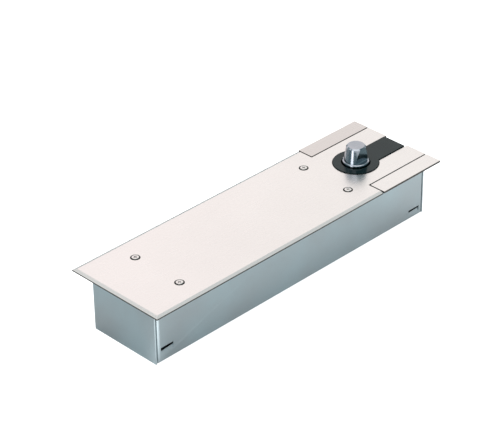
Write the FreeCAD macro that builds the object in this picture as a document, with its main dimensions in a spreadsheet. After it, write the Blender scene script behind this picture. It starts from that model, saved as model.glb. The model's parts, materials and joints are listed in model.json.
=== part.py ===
import FreeCAD
import Part
import Sketcher
import math
import os
import re
from FreeCAD import Placement, Rotation, Vector

# Floor spring door closer, in millimetres.
# The origin is on the spindle's axis, level with the top of the cover plate, which lies flush with
# the finished floor. X runs along the box towards the end by the spindle, Y across it, Z up.

CAM_POINTS = 14
HALVINGS = 40
NEAR = 1e-4

os.makedirs("parts", exist_ok=True)
doc = FreeCAD.newDocument("floor_spring")

SIZES = (
    ("plate_length", 357.5, "cover plate, along the box"),
    ("plate_width", 107.5, "cover plate, across the box"),
    ("plate_gauge", 2, "thickness of the cover plate"),
    ("bevel_run", 3.4, "width of the bevelled rim"),
    ("bevel_drop", 1.4, "height of the bevelled rim"),
    ("spindle_to_end", 57, "spindle axis to the near end of the plate"),
    ("strip_width", 16.8, "filler strip, across the box"),
    ("strip_length", 77.4, "filler strip, along the box"),
    ("seam", 0.7, "gap along a filler strip"),
    ("end_seam", 0.9, "gap at the far end of a filler strip"),
    ("tab_gauge", 1.2, "backing tab below a filler strip"),
    ("tab_reach", 6, "how far the backing tab passes under the cover plate"),
    ("tab_margin", 6, "strip's outer edge to the backing tab"),
    ("tab_start", 2, "strip's far end to the backing tab"),
    ("surround_diameter", 43, "round part of the spindle surround"),
    ("tongue_width", 25, "straight part of the spindle surround"),
    ("surround_rise", 0.7, "surround above the plate's top"),
    ("surround_gap", 0.3, "gap round the surround"),
    ("surround_bore", 27.4, "bore of the surround"),
    ("skirt_wall", 1.6, "wall of the surround's skirt"),
    ("skirt_roof", 2.4, "plate's underside to the hollow of the skirt"),
    ("floor_depth", 60, "plate top to the underside of the box"),
    ("box_length", 342.5, "cement box over its end panels"),
    ("near_overhang", 5, "plate past the box at the spindle end"),
    ("trough_width", 78, "outside width of the folded trough"),
    ("sheet_gauge", 1.5, "sheet of the trough"),
    ("bend_radius", 2, "outer bend radius of the sheet parts"),
    ("cap_gauge", 1.5, "sheet of the end panels"),
    ("cap_inset", 0.1, "long wall's face to the end panel's edge"),
    ("end_tab", 12, "tab bent in behind an end panel, from the wall inwards"),
    ("end_bend", 3, "outer bend radius of the end tabs"),
    ("lance_length", 14.3, "anchor slot, along the box"),
    ("lance_height", 2.2, "anchor slot, upright"),
    ("lance_rise_near", 8, "underside of the box to the anchor slots by the spindle"),
    ("lance_rise_far", 12.6, "underside of the box to the far anchor slots"),
    ("lance_inset", 6, "end of the box to an anchor slot"),
    ("lip_height", 5, "pressed-in lip below an anchor slot, upright"),
    ("lip_depth", 1.4, "how far the lip is pressed in"),
    ("screw_near", 40.7, "spindle axis to the near cover screws"),
    ("screw_far", 250.5, "spindle axis to the far cover screws"),
    ("screw_spread", 55.5, "cover screws, across the box"),
    ("cover_screw_size", 5, "cover screw thread"),
    ("cover_screw_head", 9.2, "cover screw head"),
    ("cover_screw_length", 9.6, "cover screw below its widest part"),
    ("head_sink", 0.4, "widest part of a cover screw head below the plate's top"),
    ("head_rim", 0.5, "upright rim of a cover screw head"),
    ("dome_rise", 0.45, "raised part of a cover screw head, upright"),
    ("dome_run", 1.3, "raised part of a cover screw head, inwards"),
    ("cross_span", 5, "cover screw's cross recess, over its arms"),
    ("cross_width", 1, "arms of the cross recess"),
    ("cross_depth", 1.7, "cross recess"),
    ("head_fit", 0.03, "gap round a cover screw head in its seat"),
    ("cut_past", 1, "how far a cut runs past the edge it opens"),
    ("bracket_length", 20, "cover bracket, along the box"),
    ("bracket_inner", 20, "inner edge of a cover bracket from the middle"),
    ("bracket_leg", 22, "upright leg of a cover bracket"),
    ("bracket_gauge", 2, "sheet of the cover brackets"),
    ("thread_gap", 0.05, "radial gap of a thread in its hole"),
    ("mechanism_depth", 33, "plate top to the middle of the cam and the cylinder"),
    ("spindle_height", 18.6, "spindle top above the cover plate"),
    ("spindle_top", 18.4, "cone diameter at the top, before its chamfer"),
    ("spindle_base", 22.6, "cone diameter at its foot"),
    ("spindle_chamfer", 1.3, "chamfer round the spindle's top"),
    ("ledge_height", 3.5, "collar top above the cover plate"),
    ("collar_chamfer", 0.9, "chamfer round the collar"),
    ("flat_top", 12.8, "across the two flats at the top"),
    ("flat_base", 14.4, "across the two flats at the foot"),
    ("journal_diameter", 25, "shaft in the needle bearing"),
    ("neck_diameter", 20, "shaft where it passes the carriage plates"),
    ("pilot_diameter", 16, "lower end of the shaft"),
    ("pilot_length", 3.5, "pilot below the thrust bearing"),
    ("running_fit", 0.03, "radial gap of a shaft in its bush"),
    ("cam_thickness", 12, "heart cam"),
    ("cam_rest_radius", 16, "spindle axis to the main roller, door closed"),
    ("cam_rise", 11, "carriage travel, door fully open"),
    ("opening_angle", 130, "full opening of the door, in degrees"),
    ("roller_diameter", 14, "cam rollers"),
    ("roller_gap", 0.1, "gap between a roller and the cam"),
    ("roller_end_gap", 0.2, "how much shorter a roller is than the cam, at each end"),
    ("roller_pin_diameter", 7, "roller pins"),
    ("plate_clearance", 0.4, "gap between the cam and a carriage plate"),
    ("carriage_gauge", 4, "carriage plates"),
    ("carriage_width", 40, "carriage plates, across"),
    ("carriage_margin", 7, "counter roller pin to the plate's end"),
    ("neck_gap", 0.5, "gap round the shaft in the carriage slot"),
    ("keyhole_gap", 0.4, "gap round the journal in the carriage keyhole"),
    ("spacer_length", 10, "spacer block between the carriage plates"),
    ("spacer_width", 28, "spacer block, across"),
    ("spacer_offset", 12, "main roller's rim to the spacer block"),
    ("rivet_diameter", 5, "carriage rivets"),
    ("rivet_spread", 18, "carriage rivets, across"),
    ("chamber_wall", 7, "long walls of the cam chamber"),
    ("chamber_corner", 6, "corner radius of the cam chamber"),
    ("chamber_far_gap", 3, "carriage to the chamber's far wall, door open"),
    ("chamber_near_gap", 1.5, "carriage to the chamber's near wall, door closed"),
    ("chamber_floor_gap", 4.6, "carriage to the chamber's floor"),
    ("chamber_roof_gap", 5.6, "carriage to the top face of the housing"),
    ("housing_wall", 4.5, "near wall of the housing"),
    ("far_wall", 8, "wall between the cam chamber and the barrel"),
    ("block_to_wall", 3.5, "housing round the cam chamber to the long walls"),
    ("block_corner", 7, "corner radius of the housing"),
    ("housing_rise", 2, "housing above the floor of the box"),
    ("barrel_diameter", 46, "outside of the cylinder"),
    ("bore_diameter", 38, "cylinder bore"),
    ("rod_opening", 28, "opening from the cam chamber to the cylinder"),
    ("opening_depth", 3.5, "step behind the rod guide"),
    ("guide_length", 10, "rod guide"),
    ("ring_gauge", 1.2, "retaining ring"),
    ("ring_depth", 1, "groove of the retaining ring"),
    ("ring_lap", 2, "retaining ring inside the bore"),
    ("ring_opening", 6, "opening of the retaining ring"),
    ("rod_diameter", 10, "piston rod"),
    ("rod_seal_depth", 2.5, "rod seal, radially"),
    ("rod_seal_length", 3, "rod seal, along the rod"),
    ("piston_gap", 6, "retaining ring to the piston, door closed"),
    ("piston_length", 20, "piston"),
    ("piston_ring_length", 3, "piston ring, along the piston"),
    ("piston_ring_depth", 2, "piston ring, radially"),
    ("piston_ring_inset", 12, "piston's front to its ring"),
    ("rod_tail_diameter", 8, "rod inside the piston"),
    ("nut_across", 12, "piston nut, across flats"),
    ("nut_length", 4.5, "piston nut"),
    ("rod_tail_past", 2, "rod past the piston nut"),
    ("check_ball_diameter", 6, "check ball"),
    ("check_ball_gap", 0.1, "gap round the check ball"),
    ("check_offset", 12, "check valve above the piston's axis"),
    ("check_depth", 8, "check valve pocket in the piston's front"),
    ("check_port", 3.6, "port behind the check ball"),
    ("check_seat_gap", 0.04, "ball to its seat"),
    ("retainer_gauge", 0.6, "check ball retainer"),
    ("retainer_bore", 3, "hole in the check ball retainer"),
    ("spring_length", 149, "closing springs, door closed"),
    ("outer_wire", 6.5, "wire of the outer spring"),
    ("spring_side_gap", 1.25, "outer spring to the bore, on each side"),
    ("outer_turns", 11, "turns of the outer spring"),
    ("inner_wire", 3, "wire of the inner spring"),
    ("coil_gap", 1, "inner spring to the outer spring, on each side"),
    ("inner_turns", 15, "turns of the inner spring"),
    ("seat_gauge", 4, "spring seat"),
    ("seat_side_gap", 1, "spring seat to the bore, on each side"),
    ("seat_hub_gap", 0.75, "inner spring to the hub of the spring seat, on each side"),
    ("seat_hub_length", 6, "hub of the spring seat, into the inner spring"),
    ("adjuster_diameter", 8, "closing-force adjusting screw"),
    ("adjuster_tip", 14, "adjusting screw past the spring seat"),
    ("adjuster_travel", 8, "travel of the spring seat"),
    ("adjuster_collar", 14, "collar of the adjusting screw"),
    ("collar_length", 3, "collar of the adjusting screw"),
    ("adjuster_head_gap", 1, "cap to the adjusting screw's head"),
    ("adjuster_across", 13, "adjusting screw's hexagon, across flats"),
    ("adjuster_head", 5, "adjusting screw's hexagon, height"),
    ("seat_to_cap", 1, "spring seat to the cap, at full travel"),
    ("cap_length", 12, "far end cap inside the bore"),
    ("cap_rim", 4, "flange of the far end cap"),
    ("cap_fit", 0.05, "radial gap of fixed pieces in the bore"),
    ("o_ring_wire", 2.4, "O-ring of the far end cap"),
    ("cap_o_ring_inset", 5, "cap's flange to its O-ring"),
    ("gasket_gauge", 0.5, "gasket below the bearing cover"),
    ("cover_gauge", 5.5, "bearing cover"),
    ("hub_diameter", 39, "bearing hub of the bearing cover"),
    ("hub_rise", 2.5, "hub above the bearing cover"),
    ("hub_drop", 4, "hub below the bearing cover"),
    ("hub_lip", 1, "lip below the needle bearing"),
    ("needle_diameter", 2.5, "bearing needles"),
    ("needle_count", 14, "bearing needles"),
    ("needle_gap", 0.02, "radial gap on each side of the needles"),
    ("needle_ring", 1.4, "wall of the needle bearing's outer ring"),
    ("needle_bearing_length", 9, "needle bearing"),
    ("needle_end_gap", 0.8, "needle's end to the bearing's end"),
    ("needle_cage_gap", 0.2, "needle cage's end to the bearing's end"),
    ("needle_cage_wall", 1.2, "needle cage, radially"),
    ("cage_pocket_gap", 0.1, "gap of a ball or needle in its cage"),
    ("thrust_ball", 4, "thrust bearing balls"),
    ("thrust_count", 9, "thrust bearing balls"),
    ("thrust_pitch", 24.5, "pitch circle of the thrust balls"),
    ("race_gauge", 2, "thrust bearing races"),
    ("groove_depth", 0.5, "ball groove in a race"),
    ("race_diameter", 32, "thrust bearing races"),
    ("race_gap", 0.6, "carriage to the upper race"),
    ("race_side_gap", 0.15, "lower race in its pocket"),
    ("lower_race_gap", 0.6, "pilot in the lower race"),
    ("thrust_cage_gauge", 1.6, "thrust bearing cage"),
    ("thrust_cage_width", 6.4, "thrust bearing cage, radially"),
    ("chamber_screw_size", 4, "bearing cover screws"),
    ("chamber_screw_head", 7, "bearing cover screw heads"),
    ("chamber_screw_key", 3, "hexagon sockets of the bearing cover screws"),
    ("chamber_screw_grip", 8, "bearing cover screws in the housing"),
    ("chamber_screw_inset", 10, "bearing cover screws from the cover's ends"),
    ("filler_size", 8, "oil filler plug thread"),
    ("filler_head", 13, "oil filler plug head"),
    ("filler_key", 4, "hexagon socket of the oil filler plug"),
    ("filler_head_height", 3, "oil filler plug head"),
    ("filler_washer", 1, "sealing washer of the oil filler"),
    ("filler_place", 44, "spindle axis to the oil filler"),
    ("valve_place", 78, "spindle axis to the regulating valves"),
    ("valve_spread", 20, "regulating valves, across"),
    ("valve_diameter", 8, "regulating valves"),
    ("valve_boss_top", 9, "plate top to the valve boss"),
    ("valve_boss_width", 36, "valve boss, across"),
    ("valve_boss_length", 22, "valve boss, along the box"),
    ("valve_length", 4.5, "body of a regulating valve"),
    ("valve_tip", 1, "needle tip of a regulating valve, its length"),
    ("valve_slot", 1.2, "driver slot of a regulating valve"),
    ("valve_tip_diameter", 2, "needle tip of a regulating valve"),
    ("valve_port", 3, "port below a regulating valve"),
    ("valve_sink", 0.6, "regulating valve below its boss"),
    ("valve_ring_wire", 1.4, "O-ring of a regulating valve"),
    ("valve_ring_level", 2.6, "valve's top to its O-ring"),
    ("lug_near", 97, "spindle axis to the near lugs"),
    ("lug_far", 243, "spindle axis to the far lugs"),
    ("lug_length", 26, "lug, along the box"),
    ("lug_to_wall", 1.5, "lug's edge to the long wall"),
    ("lug_gauge", 8, "lug, upright"),
    ("lug_rise", 6.5, "floor of the box to a lug"),
    ("lug_screw_size", 6, "clamping and levelling screws"),
    ("lug_screw_edge", 5, "lug's edge to the clamping and levelling screws"),
    ("lug_screw_step", 6, "lug's middle to a screw"),
    ("lug_slack", 0.5, "radial gap of a clamping screw in its lug"),
    ("clamp_across", 10, "clamping screw head and weld nut, across flats"),
    ("clamp_head", 4, "clamping screw head"),
    ("nut_height", 5, "weld nut"),
    ("leveller_rise", 7, "levelling screw above its lug"),
    ("leveller_chamfer", 1, "foot of a levelling screw"),
    ("leveller_key", 3, "hexagon sockets of the levelling screws"),
)

PLACES = (
    ("plate_far", "spindle_to_end - plate_length"),
    ("plate_under", "-plate_gauge"),
    ("side_edge", "plate_width / 2"),
    ("strip_inner", "side_edge - strip_width"),
    ("strip_far", "spindle_to_end - strip_length"),
    ("box_near", "spindle_to_end - near_overhang"),
    ("box_far", "box_near - box_length"),
    ("box_under", "-floor_depth"),
    ("box_floor", "box_under + sheet_gauge"),
    ("box_top", "plate_under - tab_gauge"),
    ("wall_outside", "trough_width / 2"),
    ("wall_inside", "wall_outside - sheet_gauge"),
    ("cap_outside", "wall_outside - cap_inset"),
    ("block_width", "2 * (wall_inside - block_to_wall)"),
    ("chamber_width", "block_width - 2 * chamber_wall"),
    ("lug_reach", "wall_inside - lug_to_wall"),
    ("lug_screw_spread", "2 * (lug_reach - lug_screw_edge)"),
    ("axis_level", "-mechanism_depth"),
    ("cam_top", "axis_level + cam_thickness / 2"),
    ("cam_bottom", "axis_level - cam_thickness / 2"),
    ("upper_plate_low", "cam_top + plate_clearance"),
    ("upper_plate_high", "upper_plate_low + carriage_gauge"),
    ("lower_plate_high", "cam_bottom - plate_clearance"),
    ("lower_plate_low", "lower_plate_high - carriage_gauge"),
    ("counter_place", "cam_rest_radius + cam_rise * 180 / opening_angle"),
    ("carriage_near", "counter_place + carriage_margin"),
    ("spacer_near", "-cam_rest_radius - roller_diameter / 2 - spacer_offset"),
    ("spacer_far", "spacer_near - spacer_length"),
    ("chamber_near", "carriage_near + chamber_near_gap"),
    ("chamber_far", "spacer_far - cam_rise - chamber_far_gap"),
    ("chamber_floor", "lower_plate_low - chamber_floor_gap"),
    ("housing_top", "upper_plate_high + chamber_roof_gap"),
    ("housing_near", "chamber_near + housing_wall"),
    ("block_far", "chamber_far - far_wall"),
    ("housing_under", "box_floor + housing_rise"),
    ("race_top", "lower_plate_low - race_gap"),
    ("upper_race_low", "race_top - race_gauge"),
    ("ball_level", "upper_race_low + groove_depth - thrust_ball / 2"),
    ("lower_race_high", "ball_level - thrust_ball / 2 + groove_depth"),
    ("thrust_floor", "lower_race_high - race_gauge"),
    ("pilot_low", "thrust_floor - pilot_length"),
    ("cover_low", "housing_top + gasket_gauge"),
    ("cover_high", "cover_low + cover_gauge"),
    ("hub_high", "cover_high + hub_rise"),
    ("hub_low", "cover_low - hub_drop"),
    ("bearing_low", "hub_low + hub_lip"),
    ("bearing_high", "bearing_low + needle_bearing_length"),
    ("needle_place", "journal_diameter / 2 + needle_gap + needle_diameter / 2"),
    ("ring_inside", "needle_place + needle_diameter / 2 + needle_gap"),
    ("ring_outside", "ring_inside + needle_ring"),
    ("cover_far", "chamber_far - block_corner / 2"),
    ("guide_near", "chamber_far - opening_depth"),
    ("guide_far", "guide_near - guide_length"),
    ("ring_far", "guide_far - ring_gauge"),
    ("piston_near", "ring_far - piston_gap"),
    ("outer_mean", "bore_diameter - 2 * spring_side_gap - outer_wire"),
    ("inner_mean", "outer_mean - outer_wire - 2 * coil_gap - inner_wire"),
    ("seat_diameter", "bore_diameter - 2 * seat_side_gap"),
    ("seat_hub", "inner_mean - inner_wire - 2 * seat_hub_gap"),
    ("piston_far", "piston_near - piston_length"),
    ("seat_near", "piston_far - spring_length"),
    ("seat_far", "seat_near - seat_gauge"),
    ("cap_near", "seat_far - adjuster_travel - seat_to_cap"),
    ("cap_far", "cap_near - cap_length"),
    ("barrel_end", "cap_far"),
    ("lug_low", "box_floor + lug_rise"),
    ("lug_high", "lug_low + lug_gauge"),
    ("valve_top", "-valve_boss_top - valve_sink"),
)

names = {name for name, *_ in SIZES} | {name for name, _ in PLACES}
driving = {name for name, *_ in SIZES}


def fill_sheets():
    """The driving sizes go into one sheet, what is worked out from them into the other."""
    sizes = doc.addObject("Spreadsheet::Sheet", "Sizes")
    for row, (name, number, note) in enumerate(SIZES, 1):
        sizes.set(f"A{row}", name)
        sizes.set(f"B{row}", str(number))
        sizes.setAlias(f"B{row}", name)
        sizes.set(f"C{row}", note)
    places = doc.addObject("Spreadsheet::Sheet", "Places")
    for row, (name, formula) in enumerate(PLACES, 1):
        places.set(f"A{row}", name)
        places.set(f"B{row}", "=" + re.sub(r"[a-z_]+", own_name, formula))
        places.setAlias(f"B{row}", name)
    doc.recompute()
    return sizes


def own_name(found):
    """A name as the sheet of worked-out values writes it."""
    return "Sizes." + found.group() if found.group() in driving else found.group()


def full_name(found):
    """A name as every other object writes it."""
    if found.group() not in names:
        return found.group()
    return ("Sizes." if found.group() in driving else "Places.") + found.group()


def bound(text):
    return re.sub(r"[a-z_]+", full_name, text)


sheet = fill_sheets()


def value(text):
    return float(sheet.evalExpression(bound(text)))


def put(made, x="0", y="0", z="0"):
    """Places an object at a point that follows the sizes."""
    for axis, text in (("x", x), ("y", y), ("z", z)):
        made.setExpression("Placement.Base." + axis, bound(text))
    return made


def new_body(label, x="0", y="0", z="0"):
    return put(doc.addObject("PartDesign::Body", label), x, y, z)


def new_sketch(body, plane, level="0"):
    """An empty sketch on one of the body's own planes, shifted along that plane's normal."""
    made = body.newObject("Sketcher::SketchObject", body.Name + "_sketch")
    flat = [feature for feature in body.Origin.OriginFeatures if feature.Role == plane]
    made.AttachmentSupport = (flat[0], [""])
    made.MapMode = "FlatFace"
    made.setExpression("AttachmentOffset.Base.z", bound(level))
    return made


def hold(sketch, kind, geometry, point, text):
    """A bound distance from the sketch's origin to a point of it."""
    where = sketch.addConstraint(Sketcher.Constraint(kind, -1, 1, geometry, point, value(text)))
    sketch.setExpression(f"Constraints[{where}]", bound(text))


def draw_outline(sketch, corners):
    """A closed outline of straight edges whose corners follow the sizes."""
    first = sketch.GeometryCount
    count = len(corners)
    spots = [Vector(value(x), value(y), 0) for x, y in corners]
    for place, spot in enumerate(spots):
        sketch.addGeometry(Part.LineSegment(spot, spots[(place + 1) % count]), False)
    for place, (x, y) in enumerate(corners):
        following = first + (place + 1) % count
        sketch.addConstraint(Sketcher.Constraint("Coincident", first + place, 2, following, 1))
        hold(sketch, "DistanceX", first + place, 1, x)
        hold(sketch, "DistanceY", first + place, 1, y)


def draw_circle(sketch, x, y, radius):
    place = sketch.GeometryCount
    spot = Vector(value(x), value(y), 0)
    sketch.addGeometry(Part.Circle(spot, Vector(0, 0, 1), value(radius)), False)
    hold(sketch, "DistanceX", place, 3, x)
    hold(sketch, "DistanceY", place, 3, y)
    where = sketch.addConstraint(Sketcher.Constraint("Radius", place, value(radius)))
    sketch.setExpression(f"Constraints[{where}]", bound(radius))


def corners_of(x0, x1, y0, y1):
    return [(x0, y0), (x1, y0), (x1, y1), (x0, y1)]


def hexagon(across, x="0", y="0"):
    """Corners of a hexagon of the given size across its flats."""
    radius = f"({across}) / sqrt(3)"
    turns = range(0, 360, 60)
    return [(f"{x} + {radius} * cos({turn})", f"{y} + {radius} * sin({turn})") for turn in turns]


def finish_feature(feature, sketch, length):
    feature.Profile = sketch
    sketch.Visibility = False
    if length is not None:
        feature.setExpression("Length", bound(length))
    doc.recompute()
    return feature


def pad(body, plane, level, length, outlines=(), circles=(), middle=False):
    """Adds a prism from a level along the plane's normal, or to both sides of the level."""
    sketch = new_sketch(body, plane, level)
    for corners in outlines:
        draw_outline(sketch, corners)
    for circle in circles:
        draw_circle(sketch, *circle)
    feature = body.newObject("PartDesign::Pad", body.Name + "_pad")
    feature.Midplane = middle
    return finish_feature(feature, sketch, length)


def pocket(body, plane, level, length, outlines=(), circles=(), middle=False):
    """Cuts a prism from a level against the plane's normal, or to both sides of the level."""
    sketch = new_sketch(body, plane, level)
    for corners in outlines:
        draw_outline(sketch, corners)
    for circle in circles:
        draw_circle(sketch, *circle)
    feature = body.newObject("PartDesign::Pocket", body.Name + "_pocket")
    feature.Midplane = middle
    return finish_feature(feature, sketch, length)


def turn(body, corners, along=False):
    """Adds a solid of revolution about Z, or about X, from (radius, z) or (x, radius) corners."""
    sketch = new_sketch(body, "XZ_Plane")
    draw_outline(sketch, corners)
    feature = body.newObject("PartDesign::Revolution", body.Name + "_turned")
    feature.Profile = sketch
    feature.ReferenceAxis = (sketch, ["H_Axis" if along else "V_Axis"])
    feature.Angle = 360
    sketch.Visibility = False
    doc.recompute()
    return feature


def upright_edges(shape, places):
    """Names of the upright edges that stand at the given (x, y) places."""
    found = []
    for number, edge in enumerate(shape.Edges, 1):
        low, high = edge.Vertexes[0].Point, edge.Vertexes[-1].Point
        if abs(low.x - high.x) + abs(low.y - high.y) > NEAR or abs(low.z - high.z) < NEAR:
            continue
        if any(abs(low.x - x) + abs(low.y - y) < NEAR for x, y in places):
            found.append(f"Edge{number}")
    return found


def round_upright(body, radius, places):
    """Fillets the upright edges at the given places."""
    numbers = [(value(x), value(y)) for x, y in places]
    base = body.Tip
    feature = body.newObject("PartDesign::Fillet", body.Name + "_rounded")
    feature.Base = (base, upright_edges(base.Shape, numbers))
    feature.setExpression("Radius", bound(radius))
    body.Tip = feature
    doc.recompute()


def several(label, master, places):
    """Copies of one piece at several places, kept as separate solids under one name."""
    copies = []
    for number, place in enumerate(places, 1):
        copy = doc.addObject("App::Link", f"{label}_{number}")
        copy.LinkedObject = master
        put(copy, *place)
        copies.append(copy)
    made = doc.addObject("Part::Compound", label)
    made.Links = copies
    doc.recompute()
    return made


def round_places(radius, count, z="0"):
    """Places spread evenly round the spindle's axis."""
    step = f"360 / ({count})"
    total = int(value(count))
    return [(f"{radius} * cos({n} * {step})", f"{radius} * sin({n} * {step})", z) for n in range(total)]


def o_ring(label, mean, wire, x="0", y="0", z="0", along=False):
    """A ring of round section about Z, or about X."""
    made = doc.addObject("Part::Torus", label)
    made.setExpression("Radius1", bound(mean))
    made.setExpression("Radius2", bound(wire + " / 2"))
    if along:
        made.Placement = Placement(Vector(), Rotation(Vector(0, 1, 0), 90))
    return put(made, x, y, z)


# Cement box

def box_trough():
    """Folded trough: floor, two long walls with bent-in end tabs, and lanced anchor slots."""
    body = new_body("box_trough", x="box_near - cap_gauge", z="box_under")
    length = "box_length - 2 * cap_gauge"
    height = "box_top - box_under"
    section = [
        ("-wall_outside", "0"), ("wall_outside", "0"), ("wall_outside", height),
        ("wall_inside", height), ("wall_inside", "sheet_gauge"), ("-wall_inside", "sheet_gauge"),
        ("-wall_inside", height), ("-wall_outside", height),
    ]
    pad(body, "YZ_Plane", f"-({length})", length, [section])
    base = body.Tip
    bends = []
    for number, edge in enumerate(base.Shape.Edges, 1):
        low, high = edge.Vertexes[0].Point, edge.Vertexes[-1].Point
        if abs(low.x - high.x) > NEAR and abs(low.z) < NEAR:
            bends.append(f"Edge{number}")
    fold = body.newObject("PartDesign::Fillet", "box_trough_fold")
    fold.Base = (base, bends)
    fold.setExpression("Radius", bound("bend_radius"))
    body.Tip = fold
    doc.recompute()
    for end, way in (("0", "-"), (f"-({length})", "")):
        for side in ("", "-"):
            relief = corners_of(*sorted((end, f"{end} + {way}end_bend"), key=value),
                                *sorted((f"{side}wall_outside", f"{side}(wall_outside - end_bend)"), key=value))
            pocket(body, "XY_Plane", "bend_radius", "bend_radius", [relief])
            tab = corners_of(*sorted((end, f"{end} + {way}sheet_gauge"), key=value),
                             *sorted((f"{side}wall_outside", f"{side}(wall_inside - end_tab)"), key=value))
            pad(body, "XY_Plane", "bend_radius", f"{height} - bend_radius", [tab])
    corners = [(end, f"{side}wall_outside") for end in ("0", f"-({length})") for side in ("", "-")]
    round_upright(body, "end_bend", corners)
    corners = [(end, f"{side}wall_inside") for end in ("-sheet_gauge", f"-({length}) + sheet_gauge")
               for side in ("", "-")]
    round_upright(body, "end_bend - sheet_gauge", corners)
    near_slot = ("-lance_inset + cap_gauge - lance_length", "lance_rise_near")
    far_slot = (f"-({length}) + lance_inset - cap_gauge", "lance_rise_far")
    for start, rise in (near_slot, far_slot):
        opening = corners_of(start, f"{start} + lance_length", f"{rise} - lip_height", f"{rise} + lance_height")
        pocket(body, "XZ_Plane", "0", "trough_width + cut_past", [opening], middle=True)
        for side in ("", "-"):
            lip = [
                (f"{side}wall_inside", f"{rise} - lip_height"), (f"{side}wall_outside", f"{rise} - lip_height"),
                (f"{side}(wall_outside - lip_depth)", rise), (f"{side}(wall_inside - lip_depth)", rise),
            ]
            pad(body, "YZ_Plane", start, "lance_length", [lip])
    return body


def box_end(label, near):
    """Flat end panel that covers the bent-in tabs."""
    body = new_body(label, x="box_near" if near else "box_far", z="box_under")
    edges = sorted(("0", "-cap_gauge" if near else "cap_gauge"), key=value)
    panel = corners_of(*edges, "-cap_outside", "cap_outside")
    pad(body, "XY_Plane", "0", "box_top - box_under", [panel])
    return body


def cover_brackets():
    """Angle brackets inside the long walls, each with a drawn and tapped collar."""
    section = [
        ("wall_inside", "0"), ("bracket_inner", "0"), ("bracket_inner", "-bracket_gauge"),
        ("wall_inside - bracket_gauge", "-bracket_gauge"),
        ("wall_inside - bracket_gauge", "-bracket_leg"), ("wall_inside", "-bracket_leg"),
    ]
    sides = []
    for side in ("", "-"):
        body = new_body("bracket_left" if side else "bracket_right")
        mirrored = [(f"{side}({y})", z) for y, z in section]
        pad(body, "YZ_Plane", "-bracket_length / 2", "bracket_length", [mirrored])
        hole = ("0", f"{side}screw_spread / 2", "cover_screw_size / 2 + thread_gap")
        collar = ("0", f"{side}screw_spread / 2", "cover_screw_size / 2 + bracket_gauge")
        pad(body, "XY_Plane", "-2 * bracket_gauge", "bracket_gauge", circles=[collar])
        pocket(body, "XY_Plane", "0", "2 * bracket_gauge", circles=[hole])
        sunk = "cover_screw_head / 2 + head_sink + head_fit - plate_gauge"
        mouth = ("0", f"{side}screw_spread / 2", sunk)
        sink = pocket(body, "XY_Plane", "0", f"{sunk} - cover_screw_size / 2", circles=[mouth])
        sink.setExpression("TaperAngle", "-45")
        doc.recompute()
        sides.append(body)
    copies = []
    for master in sides:
        for place in ("-screw_near", "-screw_far"):
            copy = doc.addObject("App::Link", f"{master.Name}_copy")
            copy.LinkedObject = master
            put(copy, place, "0", "plate_under")
            copies.append(copy)
    made = doc.addObject("Part::Compound", "cover_brackets")
    made.Links = copies
    doc.recompute()
    return made


# Cover

def bevelled_slab(body):
    """The whole cover outline with its bevelled rim, from the underside up to the top face."""
    outline = [corners_of("plate_far", "spindle_to_end", "-side_edge", "side_edge")]
    pad(body, "XY_Plane", "plate_under", "plate_gauge - bevel_drop", outline)
    rim = pad(body, "XY_Plane", "-bevel_drop", "bevel_drop", outline)
    rim.setExpression("TaperAngle", bound("-atan(bevel_run / bevel_drop)"))
    doc.recompute()


def cover_plate():
    """Main plate: notches for the strips, keyhole for the surround, countersunk holes."""
    body = new_body("cover_plate")
    bevelled_slab(body)
    beyond = "spindle_to_end + cut_past"
    outside = "side_edge + cut_past"
    notch_inner = "strip_inner - seam"
    notch_far = "strip_far - end_seam"
    notches = [
        corners_of(notch_far, beyond, notch_inner, outside),
        corners_of(notch_far, beyond, f"-({outside})", f"-({notch_inner})"),
    ]
    pocket(body, "XY_Plane", "0", "plate_gauge", notches)
    half_slot = "tongue_width / 2 + surround_gap"
    pocket(body, "XY_Plane", "0", "plate_gauge", [corners_of("0", beyond, f"-({half_slot})", half_slot)])
    pocket(body, "XY_Plane", "0", "plate_gauge",
           circles=[("0", "0", "surround_diameter / 2 + surround_gap")])
    for place in ("-screw_near", "-screw_far"):
        for side in ("", "-"):
            hole = (place, f"{side}screw_spread / 2", "cover_screw_head / 2 + head_sink + head_fit")
            sink = pocket(body, "XY_Plane", "0", "plate_gauge", circles=[hole])
            sink.setExpression("TaperAngle", "-45")
    doc.recompute()
    return body


def filler_strip(label, side):
    """Bevelled strip beside the plate's neck, with a backing tab that carries it."""
    body = new_body(label)
    bevelled_slab(body)
    way = "" if side > 0 else "-"
    outside = "side_edge + cut_past"
    rest = sorted((f"{way}strip_inner", f"{way}(-({outside}))"), key=value)
    far = corners_of("plate_far - cut_past", "strip_far", f"-({outside})", outside)
    inner = corners_of("strip_far - cut_past", "spindle_to_end + cut_past", *rest)
    pocket(body, "XY_Plane", "0", "plate_gauge", [far])
    pocket(body, "XY_Plane", "0", "plate_gauge", [inner])
    edges = sorted((f"{way}(strip_inner - tab_reach)", f"{way}(side_edge - tab_margin)"), key=value)
    tab = corners_of("strip_far + tab_start", "box_near - cap_gauge", *edges)
    pad(body, "XY_Plane", "box_top", "tab_gauge", [tab])
    return body


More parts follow.
